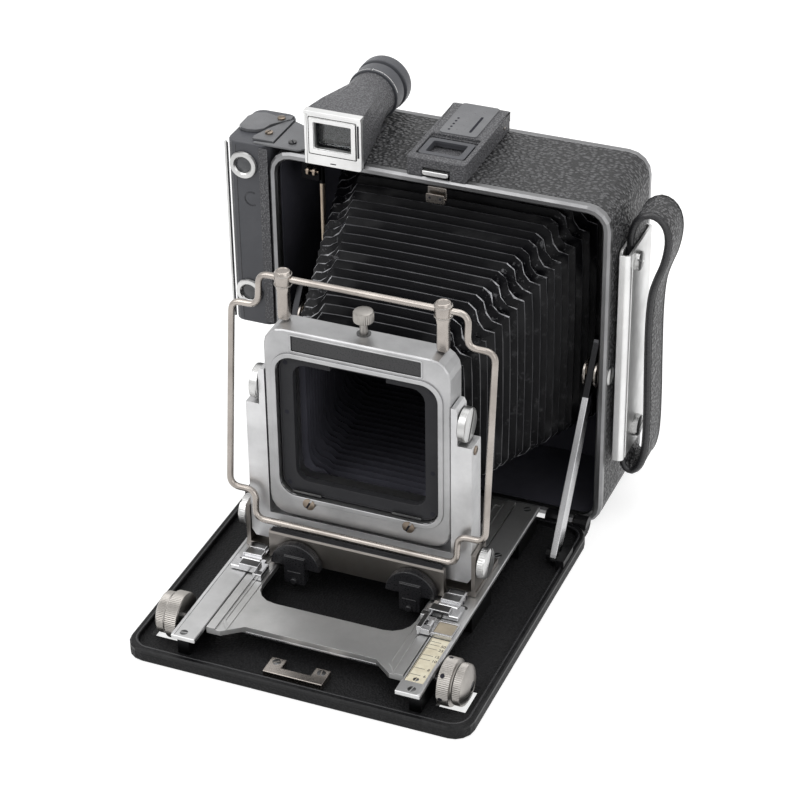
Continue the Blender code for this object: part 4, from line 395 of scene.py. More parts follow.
def tube(bm, path, radius, sides, closed=False):
    """A round wire along points given in millimetres."""
    path = [Vector(point) for point in path]
    count = len(path)
    loops = []
    side = None
    for index, point in enumerate(path):
        before = path[index - 1] if index or closed else point
        after = path[(index + 1) % count] if index + 1 < count or closed else point
        ahead = (after - before).normalized()
        side = ahead.orthogonal().normalized() if side is None else (side - ahead * side.dot(ahead)).normalized()
        up = ahead.cross(side)
        turns = [2 * pi * step / sides for step in range(sides)]
        loops.append([point + (side * cos(turn) + up * sin(turn)) * radius for turn in turns])
    twist = 0
    if closed:
        first, last = loops[0], loops[-1]
        twist = min(range(sides), key=lambda k: sum((last[i] - first[(i + k) % sides]).length for i in range(sides)))
    skin(bm, loops, FLAT, closed, twist=twist)


def slotted(bm, matrix, radius, height, slot, depth, steps=24):
    """A round screw head with a real slot across it, the slot's floor in the second material, a darker one as painted
    shade.
    """
    low = height - depth
    loops = [[(r * cos(2 * pi * k / steps), r * sin(2 * pi * k / steps), z) for k in range(steps)]
             for r, z in ((radius, 0), (radius, low))]
    skin(bm, loops, matrix)
    bm.faces.ensure_lookup_table()
    bm.faces[-1].material_index = 1
    reach = degrees(asin(min(slot / 2 / radius, 0.9)))
    shrink, edge, gap = 0.86, 0.07 * radius, 0.001
    for start in (reach, 180 + reach):
        half = arc(0, 0, radius, start, start + 180 - 2 * reach, steps // 2)
        inner = [(u * shrink, copysign(max(abs(v) * shrink, slot / 2), v)) for u, v in half]
        skin(bm, [[(u, v, low + gap) for u, v in half], [(u, v, height - edge) for u, v in half],
                  [(u, v, height) for u, v in inner]], matrix)


def drawn(draw, *values):
    """A new mesh with one shape in it."""
    bm = bmesh.new()
    draw(bm, *values)
    return bm


def screw(name, point, direction, radius, finish, body, twist, height, slot):
    """One slotted screw."""
    head = drawn(slotted, facing(point, direction, twist), radius, height, slot, min(0.6, 0.7 * height))
    # The slot's floor in the dark finish: painted shade.
    piece(name, head, finish, body, extra=(DARK,))


def bent(route, bend, steps):
    """A closed route with each corner rounded."""
    points = []
    for index, corner in enumerate(route):
        here = Vector(corner)
        back = Vector(route[index - 1]) - here
        ahead = Vector(route[(index + 1) % len(route)]) - here
        reach = min(bend, 0.48 * back.length, 0.48 * ahead.length)
        first = here + back.normalized() * reach
        last = here + ahead.normalized() * reach
        for step in range(steps + 1):
            t = step / steps
            points.append(first * (1 - t) ** 2 + here * 2 * t * (1 - t) + last * t * t)
    return points


# CAD nodes that stay: finish and soft edges

FINISH = {
    ALUMINIUM: ("tilt_yoke", 0.5),
    FRAME: ("lens_frame", 0.6),
    TRIM: ("front_trim rear_trim", 0.5),
    RAIL: ("guide_rail_left guide_rail_right", 0.4),
    TRACK: ("focus_track", 0.3),
    NICKEL: ("tripod_bush door_latch hinge_pin_left hinge_pin_right bed_catch", 0.3),
    BAR: ("carriage", 0.3),
    BRIGHT: ("finder_front_plate strap_plate", 0.25),
    CHROME: ("focus_shaft infinity_stop_base_left infinity_stop_base_right infinity_stop_flap_left "
             "infinity_stop_flap_right scale_reader", 0.25),
    BRASS: ("strut_roller_left strut_roller_right", 0.3),
    ROD: ("coupling_rod", 0.3),
    STRUT: ("bed_strut_left bed_strut_right", 0.25),
    LEATHER: ("leather_wrap", 0.0),
    CRINKLE: ("sight_housing finder_tube focusing_panel revolving_back focusing_hood", 0.5),
    GLOSS: ("squeeze_grip_left squeeze_grip_right", 0.35),
    SLATE: ("rangefinder_housing", 0.6),
    BED: ("bed_plate", 0.8),
    MATT: ("lens_seat", 0.3),
    INNER: ("body_shell bellows_frame", 0.0),
    IVORY: ("distance_scale", 0.15),
    GLASS: ("finder_lens", 0.0),
    FROSTED: ("ground_glass", 0.0),
}


def dress_nodes():
    """Give each kept CAD node its finish, and small rounded edges where it has them."""
    for finish, (names, width) in FINISH.items():
        for name in names.split():
            obj = NODES[name]
            obj.data.materials.clear()
            obj.data.materials.append(finish)
            if width:
                weld = obj.modifiers.new("weld", "WELD")
                weld.merge_threshold = 1e-6
                flat = obj.modifiers.new("flat_faces", "DECIMATE")
                flat.decimate_type = "DISSOLVE"
                flat.angle_limit = radians(1.5)
                soften(obj, width)


# Soft pieces

def bellows():
    """Pleated bellows in five runs, each listed with the two bodies at its ends."""
    rear, front, pleats, middle, level = 50.0, -78.7, 22, 88, 80
    ends = ((67.0, 22.0, 154.0), (37.0, 47.0, 129.0))  # half width, low and high at the rear and the front
    finishes = (CREASE, SHEEN, SIDE_SHEEN, GLINT)  # 1 crest highlight, 2 corner sheen, 3 side sheen and 4 glint on a crest at a corner, all painted light, over 0, the cloth
    inside = 1 + len(finishes)
    places = []
    for index in range(2 * pleats + 1):
        share, crest = index / (2 * pleats), index % 2 == 0
        half = (0.26 if crest else 0.15) / (rear - front)
        if 0 < index < 2 * pleats:
            places += [(share - half, crest), (share + half, crest)]
        else:
            places.append((share, crest))
    waves = [RNG.uniform(-0.2, 0.2) for _ in places]

    def section(share, crest):
        depth = 0.0 if crest else -5.4
        wave = waves[round(share * 2 * pleats)]
        half, low, high = (a + share * (b - a) for a, b in zip(*ends))
        half, low, high = half + depth + wave, low - depth - wave, high + depth + wave
        chamfer = 12.5 + 0.4 * depth
        y = rear + share * (front - rear)
        corners = [(half - chamfer, low), (half, low + chamfer), (half, high - chamfer), (half - chamfer, high),
                   (chamfer - half, high), (-half, high - chamfer), (-half, low + chamfer), (chamfer - half, low)]
        loop = []
        for index, (u, v) in enumerate(corners):
            nu, nv = corners[(index + 1) % 8]
            corner = index % 2 == 0
            count = 4 if corner else 8
            out = Vector((nv - v, u - nu)).normalized()
            for step in range(count):
                t = step / count
                if corner:
                    tuck = (-0.4, -1.6, -1.0, 0.9) if crest else (0.0, 0.6, 0.5, 0.2)
                    sag = tuck[step] + RNG.uniform(-0.25, 0.25)
                    push = (0.0, -2.0, -2.3, -0.3)[step] + RNG.uniform(-0.35, 0.35)
                else:
                    sag = (0.5 if crest else -0.3) * sin(pi * t)
                    push = RNG.uniform(-0.1, 0.1)
                loop.append((u + (nu - u) * t + out.x * sag, y + push, v + (nv - v) * t + out.y * sag))
        return loop

    rings = [section(share, crest) for share, crest in places]
    per = len(rings[0])
    sides = [index for index in range(8) for _ in range(4 if index % 2 == 0 else 8)]
    runs = (("body", "bed", 0, 10), ("bed", "track", 10, 18), ("track", "carriage", 18, 34),
            ("carriage", "yoke", 34, 42), ("yoke", "standard", 42, 44))
    for count, (first, second, start, end) in enumerate(runs):
        a, b = max(2 * start - 1, 0), min(2 * end - 1, len(rings) - 1)
        bm = bmesh.new()
        for index, face in enumerate(skin(bm, rings[a:b + 1], FLAT, caps=False)):
            ring, spot = a + index // per, index % per
            crest = places[ring][1] and ring + 1 < len(places) and places[ring + 1][1]
            corner, flank = sides[spot] % 2 == 0, sides[spot] in (1, 5)
            face.material_index = (4 if corner else 1) if crest else 2 if corner else 3 if flank else 0
        obj = piece(f"bellows_run_{count + 1}", bm, CLOTH, None, angle=50, extra=finishes + inside * (INNER,))
        outward = sum(face.normal.x * face.center.x + face.normal.z * (face.center.z - middle * MM)
                      for face in obj.data.polygons)
        if outward < 0:
            obj.data.flip_normals()
        thick = obj.modifiers.new("cloth", "SOLIDIFY")
        thick.thickness = 0.5 * MM
        thick.offset = -1
        thick.material_offset = inside
        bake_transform(obj)
        if count == 0:
            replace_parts(obj, "bellows")


def strap():
    """Leather hand strap with smooth black edges, held under a raised metal channel."""
    route = [Vector(point) for point in (
        (86.5, 120), (86.5, 144), (87.5, 151.6), (90.3, 157.2), (94.9, 159.9), (99.4, 158.6), (102.6, 154.6),
        (103.8, 149), (103.4, 142.4), (102.0, 135.6), (99.6, 128.6), (97.7, 121.6), (96.8, 113), (96.5, 100),
        (96.9, 78), (97.4, 58), (97.4, 42), (96.6, 33), (94.6, 26.6), (91.4, 23.2), (88.4, 24.2), (86.7, 28.6),
        (86.5, 36), (86.5, 48))]
    slopes = []
    for index, here in enumerate(route):
        before, after = route[max(index - 1, 0)], route[min(index + 1, len(route) - 1)]
        slopes.append((after - before) / ((here - before).length + (after - here).length))
    line = []
    for index in range(len(route) - 1):
        here, there = route[index], route[index + 1]
        span = (there - here).length
        steps = max(2, int(span / 2))
        for step in range(steps):
            t = step / steps
            line.append(here * (2 * t ** 3 - 3 * t ** 2 + 1) + there * (3 * t ** 2 - 2 * t ** 3)
                        + slopes[index] * span * (t ** 3 - 2 * t ** 2 + t)
                        + slopes[index + 1] * span * (t ** 3 - t ** 2))
    line.append(route[-1])

    def across(index):
        ahead = line[min(index + 1, len(line) - 1)] - line[max(index - 1, 0)]
        return Vector((ahead.y, -ahead.x)).normalized()

    middle, half, thick, crease, sink, ends = 27, 10.4, 1.75, 8.6, 1.72, 8
    section = rounded(-half, -thick, half, thick, 1.2, 4)
    section = [(u, v * (1 - 0.3 * max(0, abs(u) - half + 1.6) / 1.6)) for u, v in section]
    loops = []
    for index, point in enumerate(line):
        normal = across(index)
        loops.append([(point.x + normal.x * v, middle + u, point.y + normal.y * v) for u, v in section])
    bm = bmesh.new()
    per = len(section)
    for index, face in enumerate(skin(bm, loops, FLAT)):
        u0, u1 = section[index % per][0], section[(index + 1) % per][0]
        face.material_index = 1 if u0 * u1 > 0 and min(abs(u0), abs(u1)) > half - 1.3 else 0
    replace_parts(piece("strap_loop", bm, STRAP, "body", angle=50, extra=(GLOSS,)), "hand_strap")
    bm = bmesh.new()
    for edge in (-crease, crease):
        path = []
        for index in range(ends, len(line) - ends):
            normal = across(index) * -sink
            path.append((line[index].x + normal.x, middle + edge, line[index].y + normal.y))
        tube(bm, path, 0.16, 5)
    piece("strap_crease", bm, GLOSS, "body")
    bm = bmesh.new()
    profile = arc(9.8, 87.4, 2.4, 180, 90, 6) + arc(38.9, 87.9, 1.9, 90, 0, 5)
    inside = [(39.7, 84.8), (39.7, 87.6), (39.0, 88.5), (9.4, 88.5), (8.5, 87.6), (8.5, 84.8)]
    outline = [(7.4, 84.8)] + profile + [(40.8, 84.8)] + inside
    skin(bm, [[(x, y, z) for y, x in outline] for z in (34.2, 143.2)], FLAT)
    piece("strap_channel", bm, BRIGHT, "body", 0.2)
    piece("strap_channel_line", drawn(block, (89.7, 11.4, 34.6), (90.05, 12.0, 142.8)), BRIGHT, "body", 0.1)
    for index, (y, z, scale) in enumerate(((17.2, 137.0, 1.0), (25.2, 44.6, 1.12))):
        bm = bmesh.new()
        base = facing((89.8, y, z), RIGHT, 150 + 50 * index) @ Matrix.Scale(scale, 4)
        lathe(bm, [(0, 0), (4.7, 0), (4.8, 0.3), (4.7, 1.4), (0, 1.4)], base, 40)
        slotted(bm, base @ Matrix.Translation((0, 0, 1.3)), 4.6, 1.3, 0.9, 0.9, 36)
        piece(f"strap_screw_{index + 1}", bm, COIN, "body", extra=(STEEL,))
    for name, side in SIDES:
        screw(f"stud_head_{name}", (side * 82.55, 6.6, 80.4), (side, 0, 0), 4.4, COIN, "body", 75, 0.7, 0.6)


def strut_washers():
    """Two broad washers on each strut's stud, one on each side of the strut."""
    profile = [(2.4, 0), (6.0, 0), (6.4, 0.3), (6.4, 1.1), (6.1, 1.4), (4.6, 1.4), (4.3, 1.1), (2.4, 1.1), (2.4, 0)]
    for name, side in SIDES:
        ends = sorted(abs(corner[0]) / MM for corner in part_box(f"bed_strut_{name}"))
        for place, start in (("inner", ends[0] - 1.9), ("outer", ends[1] + 0.4)):
            washer = drawn(lathe, profile, facing((side * start, 8, 79.6), (side, 0, 0)), 56)
            piece(f"strut_washer_{place}_{name}", washer, NICKEL, "body")


# Front standard

def wire_finder():
    """Bent wire frame, its posts with knurled caps, and the board lock knob."""
    head, foot, top, bottom = -84, -98.6, 155.5, 36.7
    lean = (foot - head) / (top - bottom)
    right = [(48.5, top), (48.5, 140.5), (61.3, 140.5), (61.3, 50.5), (48.5, 50.5), (48.5, bottom)]
    route = [(x, head + lean * (top - z), z) for x, z in right + [(-x, z) for x, z in reversed(right)]]
    bm = bmesh.new()
    tube(bm, bent(route, 5, 7), 1.5, 16, closed=True)
    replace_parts(piece("finder_wire", bm, NICKEL, "wire"), "wire_finder")
    for name, side in SIDES:
        bm = bmesh.new()
        base = facing((side * 37, head, 135.6), UP)
        skin(bm, [[(u * wide, v, z) for u, v in rounded(-2.7, -1.9, 2.7, 1.9, 0.9, 4)]
                  for z, wide in ((0, 0.7), (0.5, 0.88), (1.4, 1.0), (13.2, 0.96), (15.0, 1.12), (16.4, 1.12))], base)
        lathe(bm, [(0, 16.3), (3.5, 16.3), (3.8, 16.7), (3.9, 19.5), (3.8, 22.4), (3.2, 23.5), (2.6, 23.7), (2.3, 23.3),
                   (0, 23.3)], base, 36)
        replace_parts(piece(f"finder_pillar_{name}", bm, NICKEL, "standard", 0.15), f"finder_post_{name}")
        # A dark block under the cap: painted shade in the post's slot.
        piece(f"pillar_slot_{name}", drawn(block, (-1.5, -2.1, 14.4), (1.5, -1.7, 15.9), base), DARK, "standard")
        bm = bmesh.new()
        for height in (17.2, 22.0):
            lathe(bm, [(3.7, height - 0.3), (4.12, height - 0.2, 1), (4.12, height + 0.2, 1), (3.7, height + 0.3)],
                  base, 60, 0.15)
        piece(f"pillar_bands_{name}", bm, KNURL, "standard", angle=20)
    base = facing((0, -83.2, 135.3), UP)
    bm = drawn(lathe, [(0, -6), (1.8, -6), (1.8, 6), (3.9, 6.1), (4.5, 6.5, 1), (4.6, 7.4, 1), (4.6, 10.4, 1),
                       (4.2, 11.2), (3.2, 11.5), (0, 11.5)], base, 60, 0.28)
    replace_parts(piece("lock_slide_knob", bm, KNURL, "board_lock", angle=25), "board_lock_knob")
    piece("lock_slide_collar", drawn(lathe, [(1.9, 0), (3.2, 0), (3.2, 0.3), (1.9, 0.3), (1.9, 0)], base, 32),
          STEEL, "standard")


def lens_front():
    """Raised beads, bare strip, seat details and screws of the lens frame."""
    bm = drawn(border, (-40.4, 47.6, 40.4, 124.2, 10.2, 8), (-38, 50, 38, 122, 8, 8), "Y", -93.9, -92.6)
    border(bm, (-31.2, 124.9, 31.2, 133.7, 0.8), (-30.2, 125.6, 30.2, 133.0, 0.4), "Y", -93.4, -92.6)
    piece("frame_beads", bm, FRAME, "standard", 0.5)
    piece("bare_strip", drawn(plate, rounded(-29.9, 125.8, 29.9, 132.8, 0.5), "Y", -92.9, -91.9),
          GLOSS, "standard", 0.15)
    lip = drawn(border, (-37.4, 50.6, 37.4, 121.4, 7.6, 8), (-36.8, 51.2, 36.8, 120.8, 7, 8), "Y", -91.1, -90.7)
    piece("seat_lip", lip, MATT, "standard", 0.12)
    # Holes in the seat drawn as dark discs: painted shade.
    bm = bmesh.new()
    for x, z in ((-34.3, 117.5), (34.3, 117.5), (-34.5, 92), (34.5, 76), (-34.3, 55), (34.3, 54.5)):
        disc(bm, 1.1, 0.12, facing((x, -90.75, z), FRONT), 18)
    piece("seat_holes", bm, DARK, "standard")
    for name, side in SIDES:
        x = side * 24
        screw(f"board_screw_{name}", (x, -93, 47.0), FRONT, 2.9, BRASS, "standard", 62, 1.4, 0.9)
        piece(f"board_clip_{name}", drawn(block, (x - 8.5, -92.4, 51.0), (x + 5.5, -91.6, 52.0)),
              STEEL, "standard", 0.1)
    screw("yoke_oval_head", (53.45, -88.6, 91.4), RIGHT, 2.1, BRASS, "yoke", 20, 0.5, 0.5)


def coin_knob(name, node, point, side, radius, body):
    """Coin-slotted satin lock knob with a milled edge."""
    bm = bmesh.new()
    base = facing(point, (side, 0, 0), 62)
    lathe(bm, [(0, -2.4), (1.7, -2.4), (1.7, 0), (radius - 0.4, 0), (radius, 0.35, 1), (radius, 2.9, 1),
               (radius - 0.15, 3.0), (0, 3.0)], base, 96, 0.12)
    slotted(bm, base @ Matrix.Translation((0, 0, 2.9)), radius - 0.15, 1.1, 1.5, 0.8, 48)
    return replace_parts(piece(name, bm, COIN, body, extra=(STEEL,)), node)


def standard_knobs():
    """Rise and tilt lock knobs and grip feet on both sides, and the carriage's ridge."""
    for name, side in SIDES:
        for kind, x, z, radius in (("rise", 47.1, 103, 7.9), ("tilt", 55.9, 32, 7.2)):
            body = f"{kind}_lock_{name}"
            coin_knob(f"{body}_knob", f"{kind}_knob_{name}", (side * x, -87.5, z), side, radius, body)
    for name, side in SIDES:
        x = side * 28
        bm = drawn(block, (x - 3.4, -104.2, 9.2), (x + 3.4, -103.4, 15.5))
        lathe(bm, [(0, 0), (1.5, 0), (1.5, 1.0), (1.1, 1.3), (0, 1.3)], facing((x, -104.0, 10.8), FRONT), 20)
        piece(f"grip_foot_{name}", bm, GLOSS, f"grip_{name}", 0.2)
    piece("carriage_ridge", drawn(block, (-41.5, -98.7, 31.4), (41.5, -95.4, 31.8)), MATT, "carriage", 0.15)


# Bed, track and focus drive

def focus_knobs():
    """Knurled focus knobs, and the lock ring with holes inside the right one."""
    skirt = [(10.0, 0.0), (10.7, 0.35), (10.8, 0.7, 1), (10.8, 5.4, 1), (10.6, 5.8), (9.5, 6.2), (9.1, 6.6)]
    cap = [(9.1, 0.0), (9.45, 0.3), (9.5, 0.6, 1), (9.5, 3.3, 1), (9.3, 3.7), (8.8, 4.2), (6.5, 5.3), (4.0, 5.9)]
    out, axis_y, axis_z, rim = 61.3, -146, 11, 10.72
    right, left = facing((out, axis_y, axis_z), RIGHT), facing((-out, axis_y, axis_z), (-1, 0, 0))
    bm = drawn(lathe, [(1.8, 6.6), (1.8, 0.0)] + skirt + [(1.8, 6.6)], right, 150, 0.3)
    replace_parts(piece("lock_ring_knurled", bm, KNURL, "lock_ring", angle=25), "track_lock_ring")
    # The ring's holes drawn as dark discs: painted shade.
    bm = bmesh.new()
    for step in range(6):
        turn = radians(60 * step + 12)
        spot = (out + 2.1, axis_y + rim * cos(turn), axis_z + rim * sin(turn))
        disc(bm, 1.0, 0.12, facing(spot, (0, cos(turn), sin(turn))), 18)
    piece("lock_ring_holes", bm, DARK, "lock_ring")
    bm = drawn(lathe, [(1.8, 0.0)] + cap + [(2.6, 6.2), (2.4, 5.9), (0, 5.9), (0, 4.4), (1.8, 4.4), (1.8, 0.0)],
               right @ Matrix.Translation((0, 0, 6.9)), 132, 0.3)
    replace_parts(piece("focus_cap_right", bm, KNURL, "focus_drive", angle=25), "focus_knob_right")
    top = [(9.3, 6.6), (9.45, 7.0), (9.5, 7.4, 1), (9.5, 10.2, 1), (9.3, 10.6), (8.8, 11.1), (6.5, 12.2), (4.0, 12.8),
           (0, 13.1), (0, 11.1), (1.8, 11.1), (1.8, 0.0)]
    bm = drawn(lathe, [(1.8, 0.0)] + skirt[:-1] + top, left, 150, 0.3)
    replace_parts(piece("focus_cap_left", bm, KNURL, "focus_drive", angle=25), "focus_knob_left")
    for name, base in (("right", right), ("left", left)):
        piece(f"focus_cap_screw_{name}", drawn(slotted, base @ Matrix.Translation((0, 0, 12.7)), 2.3, 0.5, 0.6, 0.35),
              STEEL, "focus_drive")


def stops():
    """Stepped chrome stops with dark tops and a drilled side plate, its holes drawn as dark discs of painted shade, and
    the reader's pane.
    """
    for name, side in SIDES:
        base, leaf, tops, tips, holes = (bmesh.new() for _ in range(5))

        def tier(bm, cover, x0, y0, x1, y1, z0, z1):
            a, b = sorted((side * x0, side * x1))
            block(bm, (a, y0, z0), (b, y1, z1))
            block(cover, (a + 0.45, y0 + 0.6, z1 - 0.1), (b - 0.45, y1 - 0.35, z1 + 0.06))

        tier(base, tops, 41.4, -113.6, 50.8, -108.9, 18.6, 20.9)
        tier(base, tops, 38.4, -116.4, 42.8, -107.6, 16.0, 19.2)
        tier(leaf, tips, 43.4, -104.6, 52.3, -100.0, 19.0, 20.6)
        tier(leaf, tips, 44.4, -99.0, 52.3, -95.2, 19.0, 20.2)
        lathe(leaf, [(0, 0), (1.2, 0), (1.33, 0.2), (1.33, 8.8), (1.2, 9.0), (0, 9.0)],
              facing((side * 43.4, -106.1, 18.2), (side, 0, 0)), 24)
        a, b = sorted((side * 52.1, side * 52.9))
        block(leaf, (a, -107.0, 17.5), (b, -95.6, 19.5))
        block(leaf, (a, -104.8, 19.2), (b, -95.6, 20.4))
        # The plate's holes drawn as dark discs: painted shade.
        for y in (-105.2, -101.4, -97.6):
            disc(holes, 0.8, 0.1, facing((side * 52.88, y, 18.5), (side, 0, 0)), 14)
        piece(f"stop_tier_{name}", base, CHROME, "track", 0.25)
        piece(f"stop_top_{name}", tops, STEEL, "track")
        piece(f"stop_leaf_{name}", leaf, CHROME, f"stop_{name}", 0.2)
        piece(f"stop_leaf_top_{name}", tips, STEEL, f"stop_{name}")
        piece(f"stop_leaf_holes_{name}", holes, DARK, f"stop_{name}")
    bm = drawn(border, (47.4, -127, 57.6, -117, 0.4), (48.3, -126.0, 56.9, -118.2, 0.3), "Z", 18.2, 19.1)
    block(bm, (41.0, -127.4, 18.2), (43.4, -117.0, 21.0))
    block(bm, (43.0, -127.4, 18.2), (47.0, -124.2, 20.2))
    block(bm, (43.0, -119.6, 18.2), (46.6, -116.8, 19.6))
    disc(bm, 1.4, 4.4, facing((45.2, -124.0, 19.0), REAR), 20)
    piece("reader_frame", bm, CHROME, "track", 0.2)
    piece("reader_top", drawn(block, (41.3, -127.0, 20.9), (43.1, -117.4, 21.06)), STEEL, "track")
    piece("reader_window", drawn(plate, rounded(48.4, -125.9, 56.8, -118.3, 0.3), "Z", 18.3, 18.6), TAN, "track")


def scale_marks():
    """Lines and plain numbers on the distance scale."""
    bm = bmesh.new()
    places, low = [-153.6, -149.0, -142.6, -139.4, -134.6, -131.8, -129.6], 16.45
    for y in places:
        block(bm, (48.6, y - 0.11, low), (53.6, y + 0.11, 16.54))
    block(bm, (48.5, -156.2, low), (48.7, -128.0, 16.53))
    piece("scale_lines", bm, DARK, "bed")
    for label, y in zip(("6", "8", "10", "15", "25", "50"), places[:6]):
        curve = bpy.data.curves.new("scale_number", "FONT")
        curve.body = label
        curve.size = 2.3 * MM
        curve.extrude = 0.03 * MM
        curve.align_x = "CENTER"
        curve.align_y = "CENTER"
        curve.materials.append(DARK)
        obj = bpy.data.objects.new("scale_number_" + label, curve)
        bpy.context.scene.collection.objects.link(obj)
        obj.location = at(55.4, y, 16.52)
        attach(obj, "bed")
    screw("scale_screw", (52.7, -156.6, 16.2), UP, 1.3, STEEL, "bed", 80, 0.45, 0.45)


def bed_details():
    """Rim bead, rail and catch screws, rail edges and the track's raised lands."""
    bead = drawn(border, (-79.0, -167.8, 79.0, -12.7, 8.2, 8), (-78.2, -167, 78.2, -13.5, 7.5, 8), "Z", 6.2, 6.85)
    piece("rim_bead", bead, GLOSS, "bed", 0.25)
    for name, side in SIDES:
        spots = [-163.6, -86.0, -44.0, -21.0] if side < 0 else [-163.6, -103.0, -60.0, -21.0]
        for index, y in enumerate(spots):
            screw(f"rail_screw_{name}_{index + 1}", (side * 53.6, y, 16.45), UP, 1.9, STEEL, "bed",
                  RNG.uniform(0, 180), 0.45, 0.6)
        bm = bmesh.new()
        x0, x1 = sorted((side * 56.9, side * 58.3))
        block(bm, (x0, -166.4, 16.7), (x1, -17.4, 17.05))
        piece(f"rail_edge_{name}", bm, ALUMINIUM, "bed", 0.12)
    for index, x in enumerate((-12.6, 8.6)):
        screw(f"catch_screw_{index + 1}", (x, -156.8, 6.95), UP, 2.0, STEEL, "bed", 40 + 60 * index, 0.5, 0.6)
    for name, side in SIDES:
        bm = bmesh.new()
        x0, x1 = sorted((side * 37.6, side * 41.4))
        outer = [(x0, -150), (x1, -154.6), (x1, -20), (x0, -20)]
        inner = [(x0 + 0.5, -148), (x1 - 0.5, -152), (x1 - 0.5, -22), (x0 + 0.5, -22)]
        frame_ring(bm, outer, inner, "Z", 15.6, 16.15)
        piece(f"track_land_{name}", bm, TRACK, "track", 0.12)


# Body furniture

def rangefinder():
    """Window rings and glasses, bright edge, lines, flank, top plates, screws and the coupling's rollers."""
    for name, z in (("lower", 91), ("upper", 158.5)):
        base = facing((-95.3, 0.7, z), FRONT)
        bm = drawn(lathe, [(3.9, 0), (6.6, 0), (6.8, 0.5), (6.5, 1.4), (5.6, 1.75), (4.6, 1.6), (4.0, 1.0), (3.9, 0)],
                   base, 56)
        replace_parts(piece(f"window_rim_{name}", bm, COIN, "body"), f"range_window_ring_{name}")
        glass = drawn(lathe, [(0, -1.6), (4.6, -1.6), (4.6, -0.2), (3.0, 0.3), (0, 0.55)], base, 40)
        piece(f"window_glass_{name}", glass, LENS, "body")
    bm = drawn(plate, rounded(-104.7, 0.3, -103.5, 1.5, 0.3, 3), "Z", 76, 169)
    plate(bm, rounded(-104.5, 8.6, -104.1, 9.4, 0.15, 3), "Z", 75.5, 168.6)
    piece("rangefinder_edge", bm, COIN, "body", 0.15)
    bm = drawn(plate, rounded(-99.4, 75.5, -99.1, 168.0, 0.1, 2), "Y", 0.9, 1.06)
    plate(bm, rounded(-103.5, 76.2, -103.0, 168.4, 0.1, 2), "Y", 0.8, 1.06)
    outer, inner = (arc(-92.2, 141, wide, 60, 300, 18) + arc(-92.2, 141, narrow, 300, 60, 18)
                    for wide, narrow in ((3.7, 3.2), (3.65, 3.25)))
    frame_ring(bm, outer, inner, "Y", 0.85, 1.1)
    piece("rangefinder_lines", bm, GLOSS, "body")
    piece("rangefinder_flank", drawn(plate, rounded(-87.8, 76, -83.2, 168.2, 0.6, 3), "Y", 0.7, 1.1),
          CRINKLE, "body", 0.15)
    leaf = [(-103.4, 14.4), (-103.6, 24), (-101.5, 28.6), (-97, 30.2), (-91, 28.6), (-86.8, 29.8), (-83.4, 31.6),
            (-83.0, 28.0), (-85.8, 24.7), (-89.8, 19.8), (-91.1, 14.6), (-94.1, 12.2), (-98, 11.4), (-101.8, 12.2)]
    wedge = [(-92.8, 7.6), (-89.8, 16.4), (-83.4, 29.0), (-81.8, 28.2), (-81.8, 4.9), (-92.4, 5.0)]
    tab = [(-90.8, 1.9), *arc(-69.6, 6.4, 4.4, 270, 360, 6), (-63.4, 12.0), (-63.4, 20.5), (-81.2, 28.6), (-81.2, 4.2),
           (-90.8, 3.4)]
    # Top plates in the lighter enamel: painted light from above.
    for name, outline, low, high, bevel in (("leaf", leaf, 169.6, 171.3, 0.3), ("wedge", wedge, 169.6, 170.7, 0.2),
                                            ("tab", tab, 169.2, 170.2, 0.25)):
        piece(f"rangefinder_top_{name}", drawn(plate, outline, "Z", low, high), LIT_TOP, "body", bevel)
    low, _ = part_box("coupling_rod")
    y, z = low[1] / MM - SHIFT_Y - 1.2, 157.6
    bm = bmesh.new()
    for x in (-66.4, -63.2):
        lathe(bm, [(0.7, 0), (2.1, 0), (2.3, 0.2), (2.3, 1.2), (2.1, 1.4), (0.7, 1.4), (0.7, 0)],
              facing((x, y, z), RIGHT), 28)
    disc(bm, 0.75, 6.4, facing((-67.2, y, z), RIGHT), 18)
    piece("coupling_rollers", bm, BRASS, "body")
    spots = ((-87.4, 26.4, BRASS, 171.2), (-87.1, 11.9, BRASS, 170.6), (-73.4, 7.7, STEEL, 170.1))
    for index, (x, y, finish, z) in enumerate(spots):
        screw(f"rangefinder_screw_{index + 1}", (x, y, z), UP, 1.9, finish, "body", 25 + 50 * index, 1.1, 0.6)


